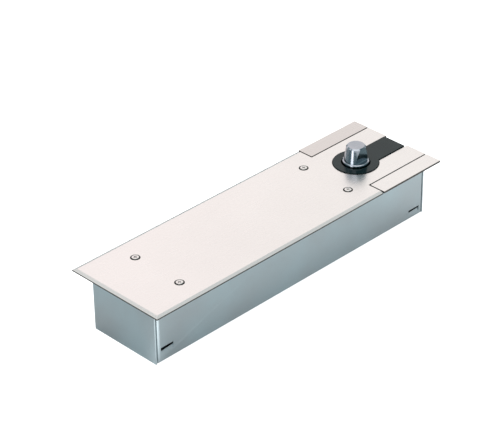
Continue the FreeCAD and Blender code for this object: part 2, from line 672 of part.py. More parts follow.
def spindle_surround():
    """Black plastic insert: a skirted disc round the spindle with a tongue to the plate's rim."""
    body = new_body("spindle_surround")
    radius = "surround_diameter / 2"
    height = "plate_gauge + surround_rise"
    pad(body, "XY_Plane", "plate_under", height, circles=[("0", "0", radius)])
    tongue = corners_of("0", "spindle_to_end - bevel_run", "-tongue_width / 2", "tongue_width / 2")
    pad(body, "XY_Plane", "plate_under", height, [tongue])
    pad(body, "XY_Plane", "cover_high", "plate_under - cover_high", circles=[("0", "0", radius)])
    inside = f"{radius} - skirt_wall"
    roof = "plate_under - skirt_roof"
    pocket(body, "XY_Plane", roof, f"{roof} - cover_high", circles=[("0", "0", inside)])
    pocket(body, "XY_Plane", "surround_rise", "surround_rise - cover_high",
           circles=[("0", "0", "surround_bore / 2")])
    return body


def cover_screws():
    """Raised countersunk screws with a cross recess."""
    body = new_body("cover_screw")
    head = "cover_screw_head / 2"
    shank = "cover_screw_size / 2"
    top = "head_rim + dome_rise"
    turn(body, [
        ("0", top), (f"{head} - dome_run", top), (head, "head_rim"), (head, "0"),
        (shank, f"-({head} - {shank})"), (shank, "-cover_screw_length"), ("0", "-cover_screw_length"),
    ])
    arm = "cross_span / 2"
    half = "cross_width / 2"
    pocket(body, "XY_Plane", top, "cross_depth", [corners_of(f"-{arm}", arm, f"-{half}", half)])
    pocket(body, "XY_Plane", top, "cross_depth", [corners_of(f"-{half}", half, f"-{arm}", arm)])
    places = [(x, f"{side}screw_spread / 2", "-head_sink")
              for x in ("-screw_near", "-screw_far") for side in ("", "-")]
    return several("cover_screws", body, places)


# Closer housing

def lug_places():
    return [(f"-{lug}", side) for lug in ("lug_near", "lug_far") for side in ("", "-")]


def chamber_screw_places():
    """Places of the bearing cover's screws, three along each side."""
    near = "housing_near - chamber_screw_inset"
    far = "cover_far + chamber_screw_inset"
    edge = "((block_width - chamber_wall) / 2)"
    return [(x, f"{side}{edge}") for x in (near, f"({near} + {far}) / 2", far) for side in ("", "-")]


def closer_housing():
    """Cast housing: cam chamber, cylinder barrel, valve boss and four lugs."""
    body = new_body("closer_housing")
    half = "block_width / 2"
    height = "housing_top - housing_under"
    pad(body, "XY_Plane", "housing_under", height,
        [corners_of("block_far", "housing_near", f"-{half}", half)])
    ends = [(x, y) for x in ("block_far", "housing_near") for y in (half, f"-{half}")]
    round_upright(body, "block_corner", ends)
    pad(body, "YZ_Plane", "barrel_end", "cover_far - barrel_end",
        circles=[("0", "axis_level", "barrel_diameter / 2")])
    for place, side in lug_places():
        edges = sorted(("0", f"{side}lug_reach"), key=value)
        lug = corners_of(f"{place} - lug_length / 2", f"{place} + lug_length / 2", *edges)
        pad(body, "XY_Plane", "lug_low", "lug_gauge", [lug])
    boss = corners_of("-valve_place - valve_boss_length / 2", "-valve_place + valve_boss_length / 2",
                      "-valve_boss_width / 2", "valve_boss_width / 2")
    pad(body, "XY_Plane", "axis_level", "-valve_boss_top - axis_level", [boss])
    chamber_half = "chamber_width / 2"
    corner = "chamber_corner"
    cavity = [
        (f"chamber_far + {corner}", f"-{chamber_half}"), (f"chamber_near - {corner}", f"-{chamber_half}"),
        ("chamber_near", f"-{chamber_half} + {corner}"), ("chamber_near", f"{chamber_half} - {corner}"),
        (f"chamber_near - {corner}", chamber_half), (f"chamber_far + {corner}", chamber_half),
        ("chamber_far", f"{chamber_half} - {corner}"), ("chamber_far", f"-{chamber_half} + {corner}"),
    ]
    pocket(body, "XY_Plane", "housing_top", "housing_top - chamber_floor", [cavity])
    pocket(body, "XY_Plane", "chamber_floor", "chamber_floor - thrust_floor",
           circles=[("0", "0", "race_diameter / 2 + race_side_gap")])
    pocket(body, "XY_Plane", "thrust_floor", "pilot_length + running_fit",
           circles=[("0", "0", "pilot_diameter / 2 + running_fit")])
    radius = "bore_diameter / 2"
    cut_bore(body, [
        ("barrel_end", "0"), ("barrel_end", radius), ("ring_far", radius),
        ("ring_far", f"{radius} + ring_depth"), ("guide_far", f"{radius} + ring_depth"),
        ("guide_far", radius), ("guide_near", radius), ("guide_near", "rod_opening / 2"),
        ("chamber_far", "rod_opening / 2"), ("chamber_far", "0"),
    ])
    for x, y in chamber_screw_places():
        pocket(body, "XY_Plane", "housing_top", "chamber_screw_grip + thread_gap",
               circles=[(x, y, "chamber_screw_size / 2 + thread_gap")])
    for side in ("", "-"):
        where = ("-valve_place", f"{side}valve_spread / 2")
        pocket(body, "XY_Plane", "-valve_boss_top", "valve_sink + valve_length + running_fit",
               circles=[(*where, "valve_diameter / 2 + running_fit")])
        pocket(body, "XY_Plane", "-valve_boss_top", "mechanism_depth - valve_boss_top",
               circles=[(*where, "valve_port / 2")])
    for place, side in lug_places():
        y = f"{side}lug_screw_spread / 2"
        pocket(body, "XY_Plane", "lug_high", "lug_gauge",
               circles=[(f"{place} - lug_screw_step", y, "lug_screw_size / 2 + lug_slack")])
        pocket(body, "XY_Plane", "lug_high", "lug_gauge",
               circles=[(f"{place} + lug_screw_step", y, "lug_screw_size / 2 + thread_gap")])
    return body


def cut_bore(body, corners):
    """Cuts the stepped bore about the cylinder's axis, which is drawn as a line of the sketch."""
    sketch = new_sketch(body, "XZ_Plane")
    draw_outline(sketch, [(x, f"axis_level + {radius}") for x, radius in corners])
    axis = sketch.GeometryCount
    start, end = Vector(value("barrel_end"), value("axis_level"), 0), Vector(0, value("axis_level"), 0)
    sketch.addGeometry(Part.LineSegment(start, end), True)
    hold(sketch, "DistanceX", axis, 1, "barrel_end")
    hold(sketch, "DistanceY", axis, 1, "axis_level")
    hold(sketch, "DistanceX", axis, 2, "0")
    hold(sketch, "DistanceY", axis, 2, "axis_level")
    feature = body.newObject("PartDesign::Groove", body.Name + "_bore")
    feature.Profile = sketch
    feature.ReferenceAxis = (sketch, ["Axis0"])
    feature.Angle = 360
    sketch.Visibility = False
    doc.recompute()


def bearing_cover():
    """Flat cover of the cam chamber with the hub of the needle bearing."""
    body = new_body("bearing_cover")
    half = "block_width / 2"
    pad(body, "XY_Plane", "cover_low", "cover_gauge",
        [corners_of("cover_far", "housing_near", f"-{half}", half)])
    ends = [(x, y) for x in ("cover_far", "housing_near") for y in (half, f"-{half}")]
    round_upright(body, "block_corner", ends)
    pad(body, "XY_Plane", "hub_low", "hub_high - hub_low", circles=[("0", "0", "hub_diameter / 2")])
    pocket(body, "XY_Plane", "hub_high", "hub_high - bearing_low", circles=[("0", "0", "ring_outside")])
    pocket(body, "XY_Plane", "hub_high", "hub_high - hub_low", circles=[("0", "0", "ring_inside")])
    for x, y in chamber_screw_places():
        pocket(body, "XY_Plane", "cover_high", "cover_gauge",
               circles=[(x, y, "chamber_screw_size / 2 + thread_gap")])
    pocket(body, "XY_Plane", "cover_high", "cover_gauge",
           circles=[("-filler_place", "0", "filler_size / 2 + thread_gap")])
    return body


def cover_gasket():
    """Flat gasket between the housing and the bearing cover."""
    body = new_body("cover_gasket")
    half = "block_width / 2"
    pad(body, "XY_Plane", "housing_top", "gasket_gauge",
        [corners_of("cover_far", "housing_near", f"-{half}", half)])
    ends = [(x, y) for x in ("cover_far", "housing_near") for y in (half, f"-{half}")]
    round_upright(body, "block_corner", ends)
    chamber_half = "chamber_width / 2"
    pocket(body, "XY_Plane", "cover_low", "gasket_gauge",
           [corners_of("chamber_far", "chamber_near", f"-{chamber_half}", chamber_half)])
    for x, y in chamber_screw_places():
        pocket(body, "XY_Plane", "cover_low", "gasket_gauge",
               circles=[(x, y, "chamber_screw_size / 2 + thread_gap")])
    return body


def cap_screw(label, size, head, grip, socket):
    """A screw with a round head and a hexagon socket, its head seated at the body's origin."""
    body = new_body(label)
    turn(body, [
        ("0", size), (f"{head} / 2", size), (f"{head} / 2", "0"), (f"{size} / 2", "0"),
        (f"{size} / 2", f"-({grip})"), ("0", f"-({grip})"),
    ])
    pocket(body, "XY_Plane", size, f"{size} / 2", [hexagon(socket)])
    return body


def bearing_cover_screws():
    grip = "cover_gauge + gasket_gauge + chamber_screw_grip"
    master = cap_screw("bearing_cover_screw", "chamber_screw_size", "chamber_screw_head", grip,
                       "chamber_screw_key")
    places = [(x, y, "cover_high") for x, y in chamber_screw_places()]
    return several("bearing_cover_screws", master, places)


def oil_filler_plug():
    """Plug with a hexagon socket in the bearing cover."""
    body = new_body("oil_filler_plug", x="-filler_place", z="cover_high")
    radius = "filler_size / 2"
    top = "filler_washer + filler_head_height"
    turn(body, [
        ("0", top), ("filler_head / 2", top), ("filler_head / 2", "filler_washer"),
        (radius, "filler_washer"), (radius, "-cover_gauge"), ("0", "-cover_gauge"),
    ])
    pocket(body, "XY_Plane", top, "filler_head_height", [hexagon("filler_key")])
    return body


def filler_seal():
    body = new_body("filler_seal", x="-filler_place", z="cover_high")
    radius = "filler_size / 2"
    turn(body, [("filler_head / 2", "filler_washer"), (radius, "filler_washer"), (radius, "0"),
                ("filler_head / 2", "0")])
    return body


def housing_screws():
    """Hexagon screws that clamp the housing's lugs to the weld nuts."""
    body = new_body("housing_screw")
    pad(body, "XY_Plane", "0", "clamp_head", [hexagon("clamp_across")])
    pad(body, "XY_Plane", "box_floor - lug_high + running_fit", "lug_high - box_floor - running_fit",
        circles=[("0", "0", "lug_screw_size / 2")])
    places = [(f"{place} - lug_screw_step", f"{side}lug_screw_spread / 2", "lug_high")
              for place, side in lug_places()]
    return several("housing_screws", body, places)


def weld_nuts():
    """Nuts welded to the floor of the box."""
    body = new_body("weld_nut")
    pad(body, "XY_Plane", "0", "nut_height", [hexagon("clamp_across")])
    pocket(body, "XY_Plane", "nut_height", "nut_height",
           circles=[("0", "0", "lug_screw_size / 2 + thread_gap")])
    places = [(f"{place} - lug_screw_step", f"{side}lug_screw_spread / 2", "box_floor")
              for place, side in lug_places()]
    return several("weld_nuts", body, places)


def levelling_screws():
    """Grub screws in the lugs that stand on the floor of the box and carry the housing."""
    body = new_body("levelling_screw")
    radius = "lug_screw_size / 2"
    height = "lug_high + leveller_rise - box_floor"
    turn(body, [("0", "0"), (f"{radius} - leveller_chamfer", "0"), (radius, "leveller_chamfer"),
                (radius, height), ("0", height)])
    pocket(body, "XY_Plane", height, "leveller_key", [hexagon("leveller_key")])
    places = [(f"{place} + lug_screw_step", f"{side}lug_screw_spread / 2", "box_floor")
              for place, side in lug_places()]
    return several("levelling_screws", body, places)


# Camshaft and its bearings

def heart_curve():
    """One half of the cam's edge, from the closed-door pocket round to the tip, and the trim there.

    A roller centre that keeps to radius rest + rise * angle moves the carriage evenly with the
    spindle, and two such rollers opposite each other keep one distance. The edge lies a roller
    radius inside that path.
    """
    rest = value("cam_rest_radius")
    rise = value("cam_rise") / math.radians(value("opening_angle"))
    reach = value("roller_diameter / 2 + roller_gap")

    def edge_point(angle):
        radius = rest + rise * angle
        out = Vector(-math.cos(angle), math.sin(angle), 0)
        onward = Vector(math.sin(angle), math.cos(angle), 0)
        normal = (out * radius - onward * rise).normalize()
        return out * radius - normal * reach

    low, high = math.pi / 2, math.pi
    for _ in range(HALVINGS):
        middle = (low + high) / 2
        if edge_point(middle).y > 0:
            low = middle
        else:
            high = middle
    points = [edge_point(low * step / CAM_POINTS) for step in range(CAM_POINTS + 1)]
    points[-1].y = 0
    return points


def heart_cam():
    """Heart-shaped disc with a round pocket for the main roller."""
    upper = heart_curve()
    lower = [Vector(point.x, -point.y, 0) for point in reversed(upper)]
    curves = []
    for points in (upper, lower):
        curve = Part.BSplineCurve()
        curve.interpolate(points)
        curves.append(curve.toShape())
    pocket_floor = Vector(value("roller_diameter / 2 + roller_gap - cam_rest_radius"), 0, 0)
    curves.append(Part.Arc(lower[-1], pocket_floor, upper[0]).toShape())
    face = Part.Face(Part.Wire(curves))
    made = doc.addObject("Part::Feature", "heart_cam")
    made.Shape = face.extrude(Vector(0, 0, value("cam_thickness")))
    return put(made, z="cam_bottom")


def camshaft():
    """Spindle, journals and heart cam, forged in one piece."""
    body = new_body("shaft_core")
    journal, neck, pilot = "journal_diameter / 2", "neck_diameter / 2", "pilot_diameter / 2"
    waist = "cam_rest_radius - roller_diameter / 2 - 2 * running_fit - roller_gap"
    turn(body, [
        ("0", "pilot_low"), (f"{pilot} - spindle_chamfer", "pilot_low"),
        (pilot, "pilot_low + spindle_chamfer"), (pilot, "race_top"),
        (neck, "race_top"), (neck, "cam_bottom"), (waist, "cam_bottom"), (waist, "cam_top"),
        (neck, "cam_top"), (neck, "hub_low"), (journal, "hub_low"),
        (journal, "ledge_height - collar_chamfer"), (f"{journal} - collar_chamfer", "ledge_height"),
        ("spindle_base / 2", "ledge_height"), ("spindle_top / 2", "spindle_height - spindle_chamfer"),
        ("spindle_top / 2 - spindle_chamfer", "spindle_height"), ("0", "spindle_height"),
    ])
    for side in ("", "-"):
        flat = [
            (f"{side}flat_base / 2", "ledge_height"), (f"{side}journal_diameter", "ledge_height"),
            (f"{side}journal_diameter", "spindle_height"), (f"{side}flat_top / 2", "spindle_height"),
        ]
        pocket(body, "YZ_Plane", "0", "2 * journal_diameter", [flat], middle=True)
    made = doc.addObject("Part::Fuse", "camshaft")
    made.Base = body
    made.Tool = heart_cam()
    doc.recompute()
    return made


def race(label, low, bore):
    """Thrust bearing race with its ball groove."""
    body = new_body(label)
    turn(body, [(bore, low), ("race_diameter / 2", low), ("race_diameter / 2", f"{low} + race_gauge"),
                (bore, f"{low} + race_gauge")])
    track = body.newObject("PartDesign::SubtractiveTorus", label + "_track")
    track.setExpression("Radius1", bound("thrust_pitch / 2"))
    track.setExpression("Radius2", bound("thrust_ball / 2 + running_fit"))
    track.setExpression("Placement.Base.z", bound("ball_level"))
    doc.recompute()
    return body


def thrust_balls():
    ball = doc.addObject("Part::Sphere", "thrust_ball_master")
    ball.setExpression("Radius", bound("thrust_ball / 2"))
    return several("thrust_balls", ball, round_places("thrust_pitch / 2", "thrust_count", "ball_level"))


def thrust_cage():
    body = new_body("thrust_cage", z="ball_level - thrust_cage_gauge / 2")
    inner, outer = "(thrust_pitch - thrust_cage_width) / 2", "(thrust_pitch + thrust_cage_width) / 2"
    turn(body, [(inner, "0"), (outer, "0"), (outer, "thrust_cage_gauge"), (inner, "thrust_cage_gauge")])
    holes = [(x, y, "thrust_ball / 2 + cage_pocket_gap")
             for x, y, _ in round_places("thrust_pitch / 2", "thrust_count")]
    pocket(body, "XY_Plane", "thrust_cage_gauge", "thrust_cage_gauge", circles=holes)
    return body


def upper_bearing_ring():
    body = new_body("upper_bearing_ring", z="bearing_low")
    turn(body, [("ring_inside", "0"), ("ring_outside", "0"), ("ring_outside", "needle_bearing_length"),
                ("ring_inside", "needle_bearing_length")])
    return body


def bearing_needles():
    needle = doc.addObject("Part::Cylinder", "needle_master")
    needle.setExpression("Radius", bound("needle_diameter / 2"))
    needle.setExpression("Height", bound("needle_bearing_length - 2 * needle_end_gap"))
    places = round_places("needle_place", "needle_count", "bearing_low + needle_end_gap")
    return several("bearing_needles", needle, places)


def needle_cage():
    body = new_body("needle_cage", z="bearing_low")
    inner, outer = "needle_place - needle_cage_wall / 2", "needle_place + needle_cage_wall / 2"
    low, high = "needle_cage_gap", "needle_bearing_length - needle_cage_gap"
    turn(body, [(inner, low), (outer, low), (outer, high), (inner, high)])
    level = "needle_bearing_length - needle_end_gap + cage_pocket_gap"
    depth = "needle_bearing_length - 2 * needle_end_gap + 2 * cage_pocket_gap"
    holes = [(x, y, "needle_diameter / 2 + cage_pocket_gap")
             for x, y, _ in round_places("needle_place", "needle_count")]
    pocket(body, "XY_Plane", level, depth, circles=holes)
    return body


def shaft_seal():
    """Rubber seal above the needle bearing."""
    body = new_body("shaft_seal", z="bearing_high")
    inner = "journal_diameter / 2 + running_fit"
    height = "hub_high - bearing_high"
    turn(body, [(inner, "0"), ("ring_outside", "0"), ("ring_outside", height), (inner, height)])
    return body


# Carriage, piston and rollers

def carriage_plate(label, low):
    """Carriage plate: a slot for the shaft, a keyhole that passes the journal, and pin holes."""
    body = new_body(label, z=low)
    half = "carriage_width / 2"
    pad(body, "XY_Plane", "0", "carriage_gauge",
        [corners_of("spacer_far", "carriage_near", f"-{half}", half)])
    ends = [(x, y) for x in ("spacer_far", "carriage_near") for y in (half, f"-{half}")]
    round_upright(body, "carriage_margin", ends)
    slot = "neck_diameter / 2 + neck_gap"
    pocket(body, "XY_Plane", "carriage_gauge", "carriage_gauge",
           [corners_of("0", "cam_rise", f"-({slot})", slot)])
    pocket(body, "XY_Plane", "carriage_gauge", "carriage_gauge", circles=[("0", "0", slot)])
    pocket(body, "XY_Plane", "carriage_gauge", "carriage_gauge",
           circles=[("cam_rise", "0", "journal_diameter / 2 + keyhole_gap")])
    pins = [(x, "0", "roller_pin_diameter / 2") for x in ("-cam_rest_radius", "counter_place")]
    rivets = [("spacer_near - spacer_length / 2", f"{side}rivet_spread / 2", "rivet_diameter / 2")
              for side in ("", "-")]
    pocket(body, "XY_Plane", "carriage_gauge", "carriage_gauge", circles=pins + rivets)
    return body


def carriage_spacer():
    """Block between the carriage plates that the piston rod screws into."""
    body = new_body("carriage_spacer")
    half = "spacer_width / 2"
    pad(body, "XY_Plane", "lower_plate_high", "upper_plate_low - lower_plate_high",
        [corners_of("spacer_far", "spacer_near", f"-{half}", half)])
    rivets = [("spacer_near - spacer_length / 2", f"{side}rivet_spread / 2", "rivet_diameter / 2")
              for side in ("", "-")]
    pocket(body, "XY_Plane", "upper_plate_low", "upper_plate_low - lower_plate_high", circles=rivets)
    pocket(body, "YZ_Plane", "spacer_near", "spacer_length",
           circles=[("0", "axis_level", "rod_diameter / 2")])
    return body


def roller_pins():
    pin = doc.addObject("Part::Cylinder", "roller_pin_master")
    pin.setExpression("Radius", bound("roller_pin_diameter / 2"))
    pin.setExpression("Height", bound("upper_plate_high - lower_plate_low"))
    places = [(x, "0", "lower_plate_low") for x in ("-cam_rest_radius", "counter_place")]
    return several("roller_pins", pin, places)


def carriage_rivets():
    rivet = doc.addObject("Part::Cylinder", "rivet_master")
    rivet.setExpression("Radius", bound("rivet_diameter / 2"))
    rivet.setExpression("Height", bound("upper_plate_high - lower_plate_low"))
    places = [("spacer_near - spacer_length / 2", f"{side}rivet_spread / 2", "lower_plate_low")
              for side in ("", "-")]
    return several("carriage_rivets", rivet, places)


def cam_roller(label, x):
    body = new_body(label, x=x, z="cam_bottom + roller_end_gap")
    inner, outer = "roller_pin_diameter / 2 + running_fit", "roller_diameter / 2"
    height = "cam_thickness - 2 * roller_end_gap"
    turn(body, [(inner, "0"), (outer, "0"), (outer, height), (inner, height)])
    return body


def piston_rod():
    """Rod screwed into the spacer block, with a thinner tail through the piston."""
    body = new_body("piston_rod", z="axis_level")
    rod, tail = "rod_diameter / 2", "rod_tail_diameter / 2"
    far = "piston_far - nut_length - rod_tail_past"
    turn(body, [
        ("spacer_near", "0"), ("spacer_near", rod), ("piston_near", rod), ("piston_near", tail),
        (far, tail), (far, "0"),
    ], along=True)
    return body


def piston():
    """Piston with ring groove and check valve pocket."""
    body = new_body("piston", z="axis_level")
    skin = "bore_diameter / 2 - running_fit"
    ring_near = "piston_near - piston_ring_inset"
    ring_far = f"{ring_near} - piston_ring_length"
    inside = f"{skin} - piston_ring_depth"
    tail = "rod_tail_diameter / 2"
    turn(body, [
        ("piston_near", tail), ("piston_near", skin), (ring_near, skin), (ring_near, inside),
        (ring_far, inside), (ring_far, skin), ("piston_far", skin), ("piston_far", tail),
    ], along=True)
    pocket(body, "YZ_Plane", "piston_near", "check_depth",
           circles=[("0", "check_offset", "check_ball_diameter / 2 + check_ball_gap")])
    pocket(body, "YZ_Plane", "piston_near", "piston_length",
           circles=[("0", "check_offset", "check_port / 2")])
    return body


def piston_ring():
    far = "piston_near - piston_ring_inset - piston_ring_length"
    body = new_body("piston_ring", x=far, z="axis_level")
    skin = "bore_diameter / 2 - running_fit"
    inside = f"{skin} - piston_ring_depth"
    turn(body, [("0", inside), ("piston_ring_length", inside), ("piston_ring_length", skin), ("0", skin)],
         along=True)
    return body


def piston_nut():
    body = new_body("piston_nut", x="piston_far - nut_length", z="axis_level")
    pad(body, "YZ_Plane", "0", "nut_length", [hexagon("nut_across")])
    pocket(body, "YZ_Plane", "nut_length", "nut_length", circles=[("0", "0", "rod_tail_diameter / 2")])
    return body


def check_ball():
    """Ball of the check valve, just off its seat."""
    ball = doc.addObject("Part::Sphere", "check_ball")
    ball.setExpression("Radius", bound("check_ball_diameter / 2"))
    ride = "sqrt(check_ball_diameter ^ 2 - check_port ^ 2) / 2"
    place = f"piston_near - check_depth + {ride} + check_seat_gap"
    return put(ball, place, "0", "axis_level + check_offset")


def check_retainer():
    """Ring in the mouth of the check valve pocket that keeps the ball in."""
    body = new_body("check_retainer", x="piston_near - retainer_gauge", z="axis_level + check_offset")
    inner, outer = "retainer_bore / 2", "check_ball_diameter / 2 + check_ball_gap"
    turn(body, [("0", inner), ("retainer_gauge", inner), ("retainer_gauge", outer), ("0", outer)],
         along=True)
    return body


# Cylinder

def rod_guide():
    """Guide of the piston rod, with a groove for its seal."""
    body = new_body("rod_guide", x="guide_far", z="axis_level")
    skin = "bore_diameter / 2 - cap_fit"
    bore = "rod_diameter / 2 + running_fit"
    deep = f"{bore} + rod_seal_depth"
    far = "(guide_length - rod_seal_length) / 2"
    near = "(guide_length + rod_seal_length) / 2"
    turn(body, [("0", bore), (far, bore), (far, deep), (near, deep), (near, bore), ("guide_length", bore),
                ("guide_length", skin), ("0", skin)], along=True)
    return body


def rod_seal():
    body = new_body("rod_seal", x="guide_far + (guide_length - rod_seal_length) / 2", z="axis_level")
    bore = "rod_diameter / 2 + running_fit"
    deep = f"{bore} + rod_seal_depth"
    turn(body, [("0", bore), ("rod_seal_length", bore), ("rod_seal_length", deep), ("0", deep)], along=True)
    return body


def guide_ring():
    """Retaining ring that holds the rod guide, open at the bottom."""
    body = new_body("guide_ring", x="ring_far", z="axis_level")
    outer = "bore_diameter / 2 + ring_depth - cap_fit"
    inner = "bore_diameter / 2 - ring_lap"
    turn(body, [("0", inner), ("ring_gauge", inner), ("ring_gauge", outer), ("0", outer)], along=True)
    gap = corners_of("-ring_opening / 2", "ring_opening / 2", "-bore_diameter", "0")
    pocket(body, "YZ_Plane", "ring_gauge", "ring_gauge", [gap])
    return body


def closing_spring(label, wire, mean, turns):
    """Coil spring between the piston and the spring seat."""
    body = new_body(label, x="seat_near", z="axis_level")
    sketch = new_sketch(body, "XZ_Plane")
    draw_circle(sketch, f"{wire} / 2", f"{mean} / 2", f"{wire} / 2")
    coil = body.newObject("PartDesign::AdditiveHelix", label + "_coil")
    coil.Profile = sketch
    coil.ReferenceAxis = (sketch, ["H_Axis"])
    coil.Mode = "height-turns-growth"
    coil.setExpression("Height", bound(f"spring_length - {wire}"))
    coil.setExpression("Turns", bound(turns))
    doc.recompute()
    return body


def spring_seat():
    """Disc on the adjusting screw that carries the far ends of the springs."""
    body = new_body("spring_seat", x="seat_far", z="axis_level")
    bore = "adjuster_diameter / 2 + running_fit"
    hub_end = "seat_gauge + seat_hub_length"
    turn(body, [("0", bore), (hub_end, bore), (hub_end, "seat_hub / 2"), ("seat_gauge", "seat_hub / 2"),
                ("seat_gauge", "seat_diameter / 2"), ("0", "seat_diameter / 2")], along=True)
    return body


def force_adjuster():
    """Closing-force adjusting screw, held by its collar inside the cap."""
    body = new_body("force_adjuster", z="axis_level")
    rod, collar = "adjuster_diameter / 2", "adjuster_collar / 2"
    head_near = "cap_far - cap_rim - adjuster_head_gap"
    turn(body, [
        ("seat_near + adjuster_tip", "0"), ("seat_near + adjuster_tip", rod), ("cap_near", rod),
        ("cap_near", collar), ("cap_near - collar_length", collar), ("cap_near - collar_length", rod),
        (head_near, rod), (head_near, "0"),
    ], along=True)
    pad(body, "YZ_Plane", f"{head_near} - adjuster_head", "adjuster_head", [hexagon("adjuster_across")])
    return body


def far_end_cap():
    """Cap screwed into the end of the cylinder, with seats for the collar and the O-ring."""
    body = new_body("far_end_cap", z="axis_level")
    skin = "bore_diameter / 2 - cap_fit"
    bore = "adjuster_diameter / 2 + running_fit"
    seat = "adjuster_collar / 2 + running_fit"
    floor = "cap_near - collar_length - running_fit"
    ring_near = "cap_far + cap_o_ring_inset + o_ring_wire / 2"
    ring_far = "cap_far + cap_o_ring_inset - o_ring_wire / 2"
    ring_floor = "bore_diameter / 2 - o_ring_wire"
    turn(body, [
        ("cap_near", seat), ("cap_near", skin), (ring_near, skin), (ring_near, ring_floor),
        (ring_far, ring_floor), (ring_far, skin), ("cap_far", skin), ("cap_far", "barrel_diameter / 2"),
        ("cap_far - cap_rim", "barrel_diameter / 2"), ("cap_far - cap_rim", bore),
        (floor, bore), (floor, seat),
    ], along=True)
    return body


def regulating_valve(label, side):
    """Regulating valve: a screw with a needle tip and a groove for its O-ring."""
    body = new_body(label, x="-valve_place", y=f"{side}valve_spread / 2", z="valve_top")
    radius, tip = "valve_diameter / 2", "valve_tip_diameter / 2"
    ring_high = "-valve_ring_level + valve_ring_wire / 2"
    ring_low = "-valve_ring_level - valve_ring_wire / 2"
    inside = f"{radius} - valve_ring_wire"
    turn(body, [
        ("0", "0"), (radius, "0"), (radius, ring_high), (inside, ring_high), (inside, ring_low),
        (radius, ring_low), (radius, "-valve_length"), (tip, "-valve_length"),
        (f"{tip} / 2", "-valve_length - valve_tip"), ("0", "-valve_length - valve_tip"),
    ])
    half_slot = "valve_slot / 2"
    slot = corners_of(f"-{radius}", radius, f"-{half_slot}", half_slot)
    pocket(body, "XY_Plane", "0", "valve_slot", [slot])
    return body


def valve_o_ring(label, side):
    mean = "valve_diameter / 2 - valve_ring_wire / 2"
    return o_ring(label, mean, "valve_ring_wire", "-valve_place", f"{side}valve_spread / 2",
                  "valve_top - valve_ring_level")


nodes = [
    box_trough(),
    box_end("box_end_near", True),
    box_end("box_end_far", False),
    cover_brackets(),
    cover_plate(),
    filler_strip("filler_strip_back", 1),
    filler_strip("filler_strip_front", -1),
    spindle_surround(),
    cover_screws(),
    closer_housing(),
    bearing_cover(),
    cover_gasket(),
    bearing_cover_screws(),
    oil_filler_plug(),
    filler_seal(),
    housing_screws(),
    weld_nuts(),
    levelling_screws(),
    camshaft(),
    race("upper_thrust_race", "upper_race_low", "pilot_diameter / 2"),
    race("lower_thrust_race", "thrust_floor", "pilot_diameter / 2 + lower_race_gap"),
    thrust_balls(),
    thrust_cage(),
    upper_bearing_ring(),
    bearing_needles(),
    needle_cage(),
    shaft_seal(),
    carriage_plate("carriage_plate_upper", "upper_plate_low"),
    carriage_plate("carriage_plate_lower", "lower_plate_low"),
    carriage_spacer(),
    roller_pins(),
    carriage_rivets(),
    cam_roller("main_roller", "-cam_rest_radius"),
    cam_roller("counter_roller", "counter_place"),
    piston_rod(),
    piston(),
    piston_ring(),
    piston_nut(),
    check_ball(),
    check_retainer(),
    rod_guide(),
    rod_seal(),
    guide_ring(),
    closing_spring("outer_spring", "outer_wire", "outer_mean", "outer_turns"),
    closing_spring("inner_spring", "inner_wire", "inner_mean", "inner_turns"),
    spring_seat(),
    force_adjuster(),
    far_end_cap(),
    o_ring("cap_o_ring", "(bore_diameter - o_ring_wire) / 2", "o_ring_wire",
           "cap_far + cap_o_ring_inset", "0", "axis_level", along=True),
    regulating_valve("closing_speed_valve", ""),
    regulating_valve("latching_speed_valve", "-"),
    valve_o_ring("closing_valve_o_ring", ""),
    valve_o_ring("latching_valve_o_ring", "-"),
]
doc.recompute()


def report_faults():
    """Names every object that failed to build."""
    faults = [made.Name for made in doc.Objects if {"Invalid", "Error"} & set(made.State)]
    for node in nodes:
        if node.Shape.isNull() or not node.Shape.isValid() or not node.Shape.Solids:
            faults.append(node.Label)
    return faults


faults = report_faults()
if faults:
    raise RuntimeError("these did not build: " + ", ".join(faults))
for node in nodes:
    node.Shape.exportStep(f"parts/{node.Label}.step")
    print(f"{node.Label}: {len(node.Shape.Solids)} solids, {node.Shape.Volume / 1000:.2f} cm3")
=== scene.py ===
# %% [markdown]
# # A floor spring door closer, seen from above one corner
#
# The closer sits in a steel box that is cemented into the floor. What shows when it is installed is the
# cover plate, the black surround and the spindle that turns with the door.
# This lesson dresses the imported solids: pieces that catch the light get meshes of their own with soft
# edges, and the rest keeps its solid and gets a finish.

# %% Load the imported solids
import json
import math

import bmesh
import bpy
from mathutils import Matrix, Vector


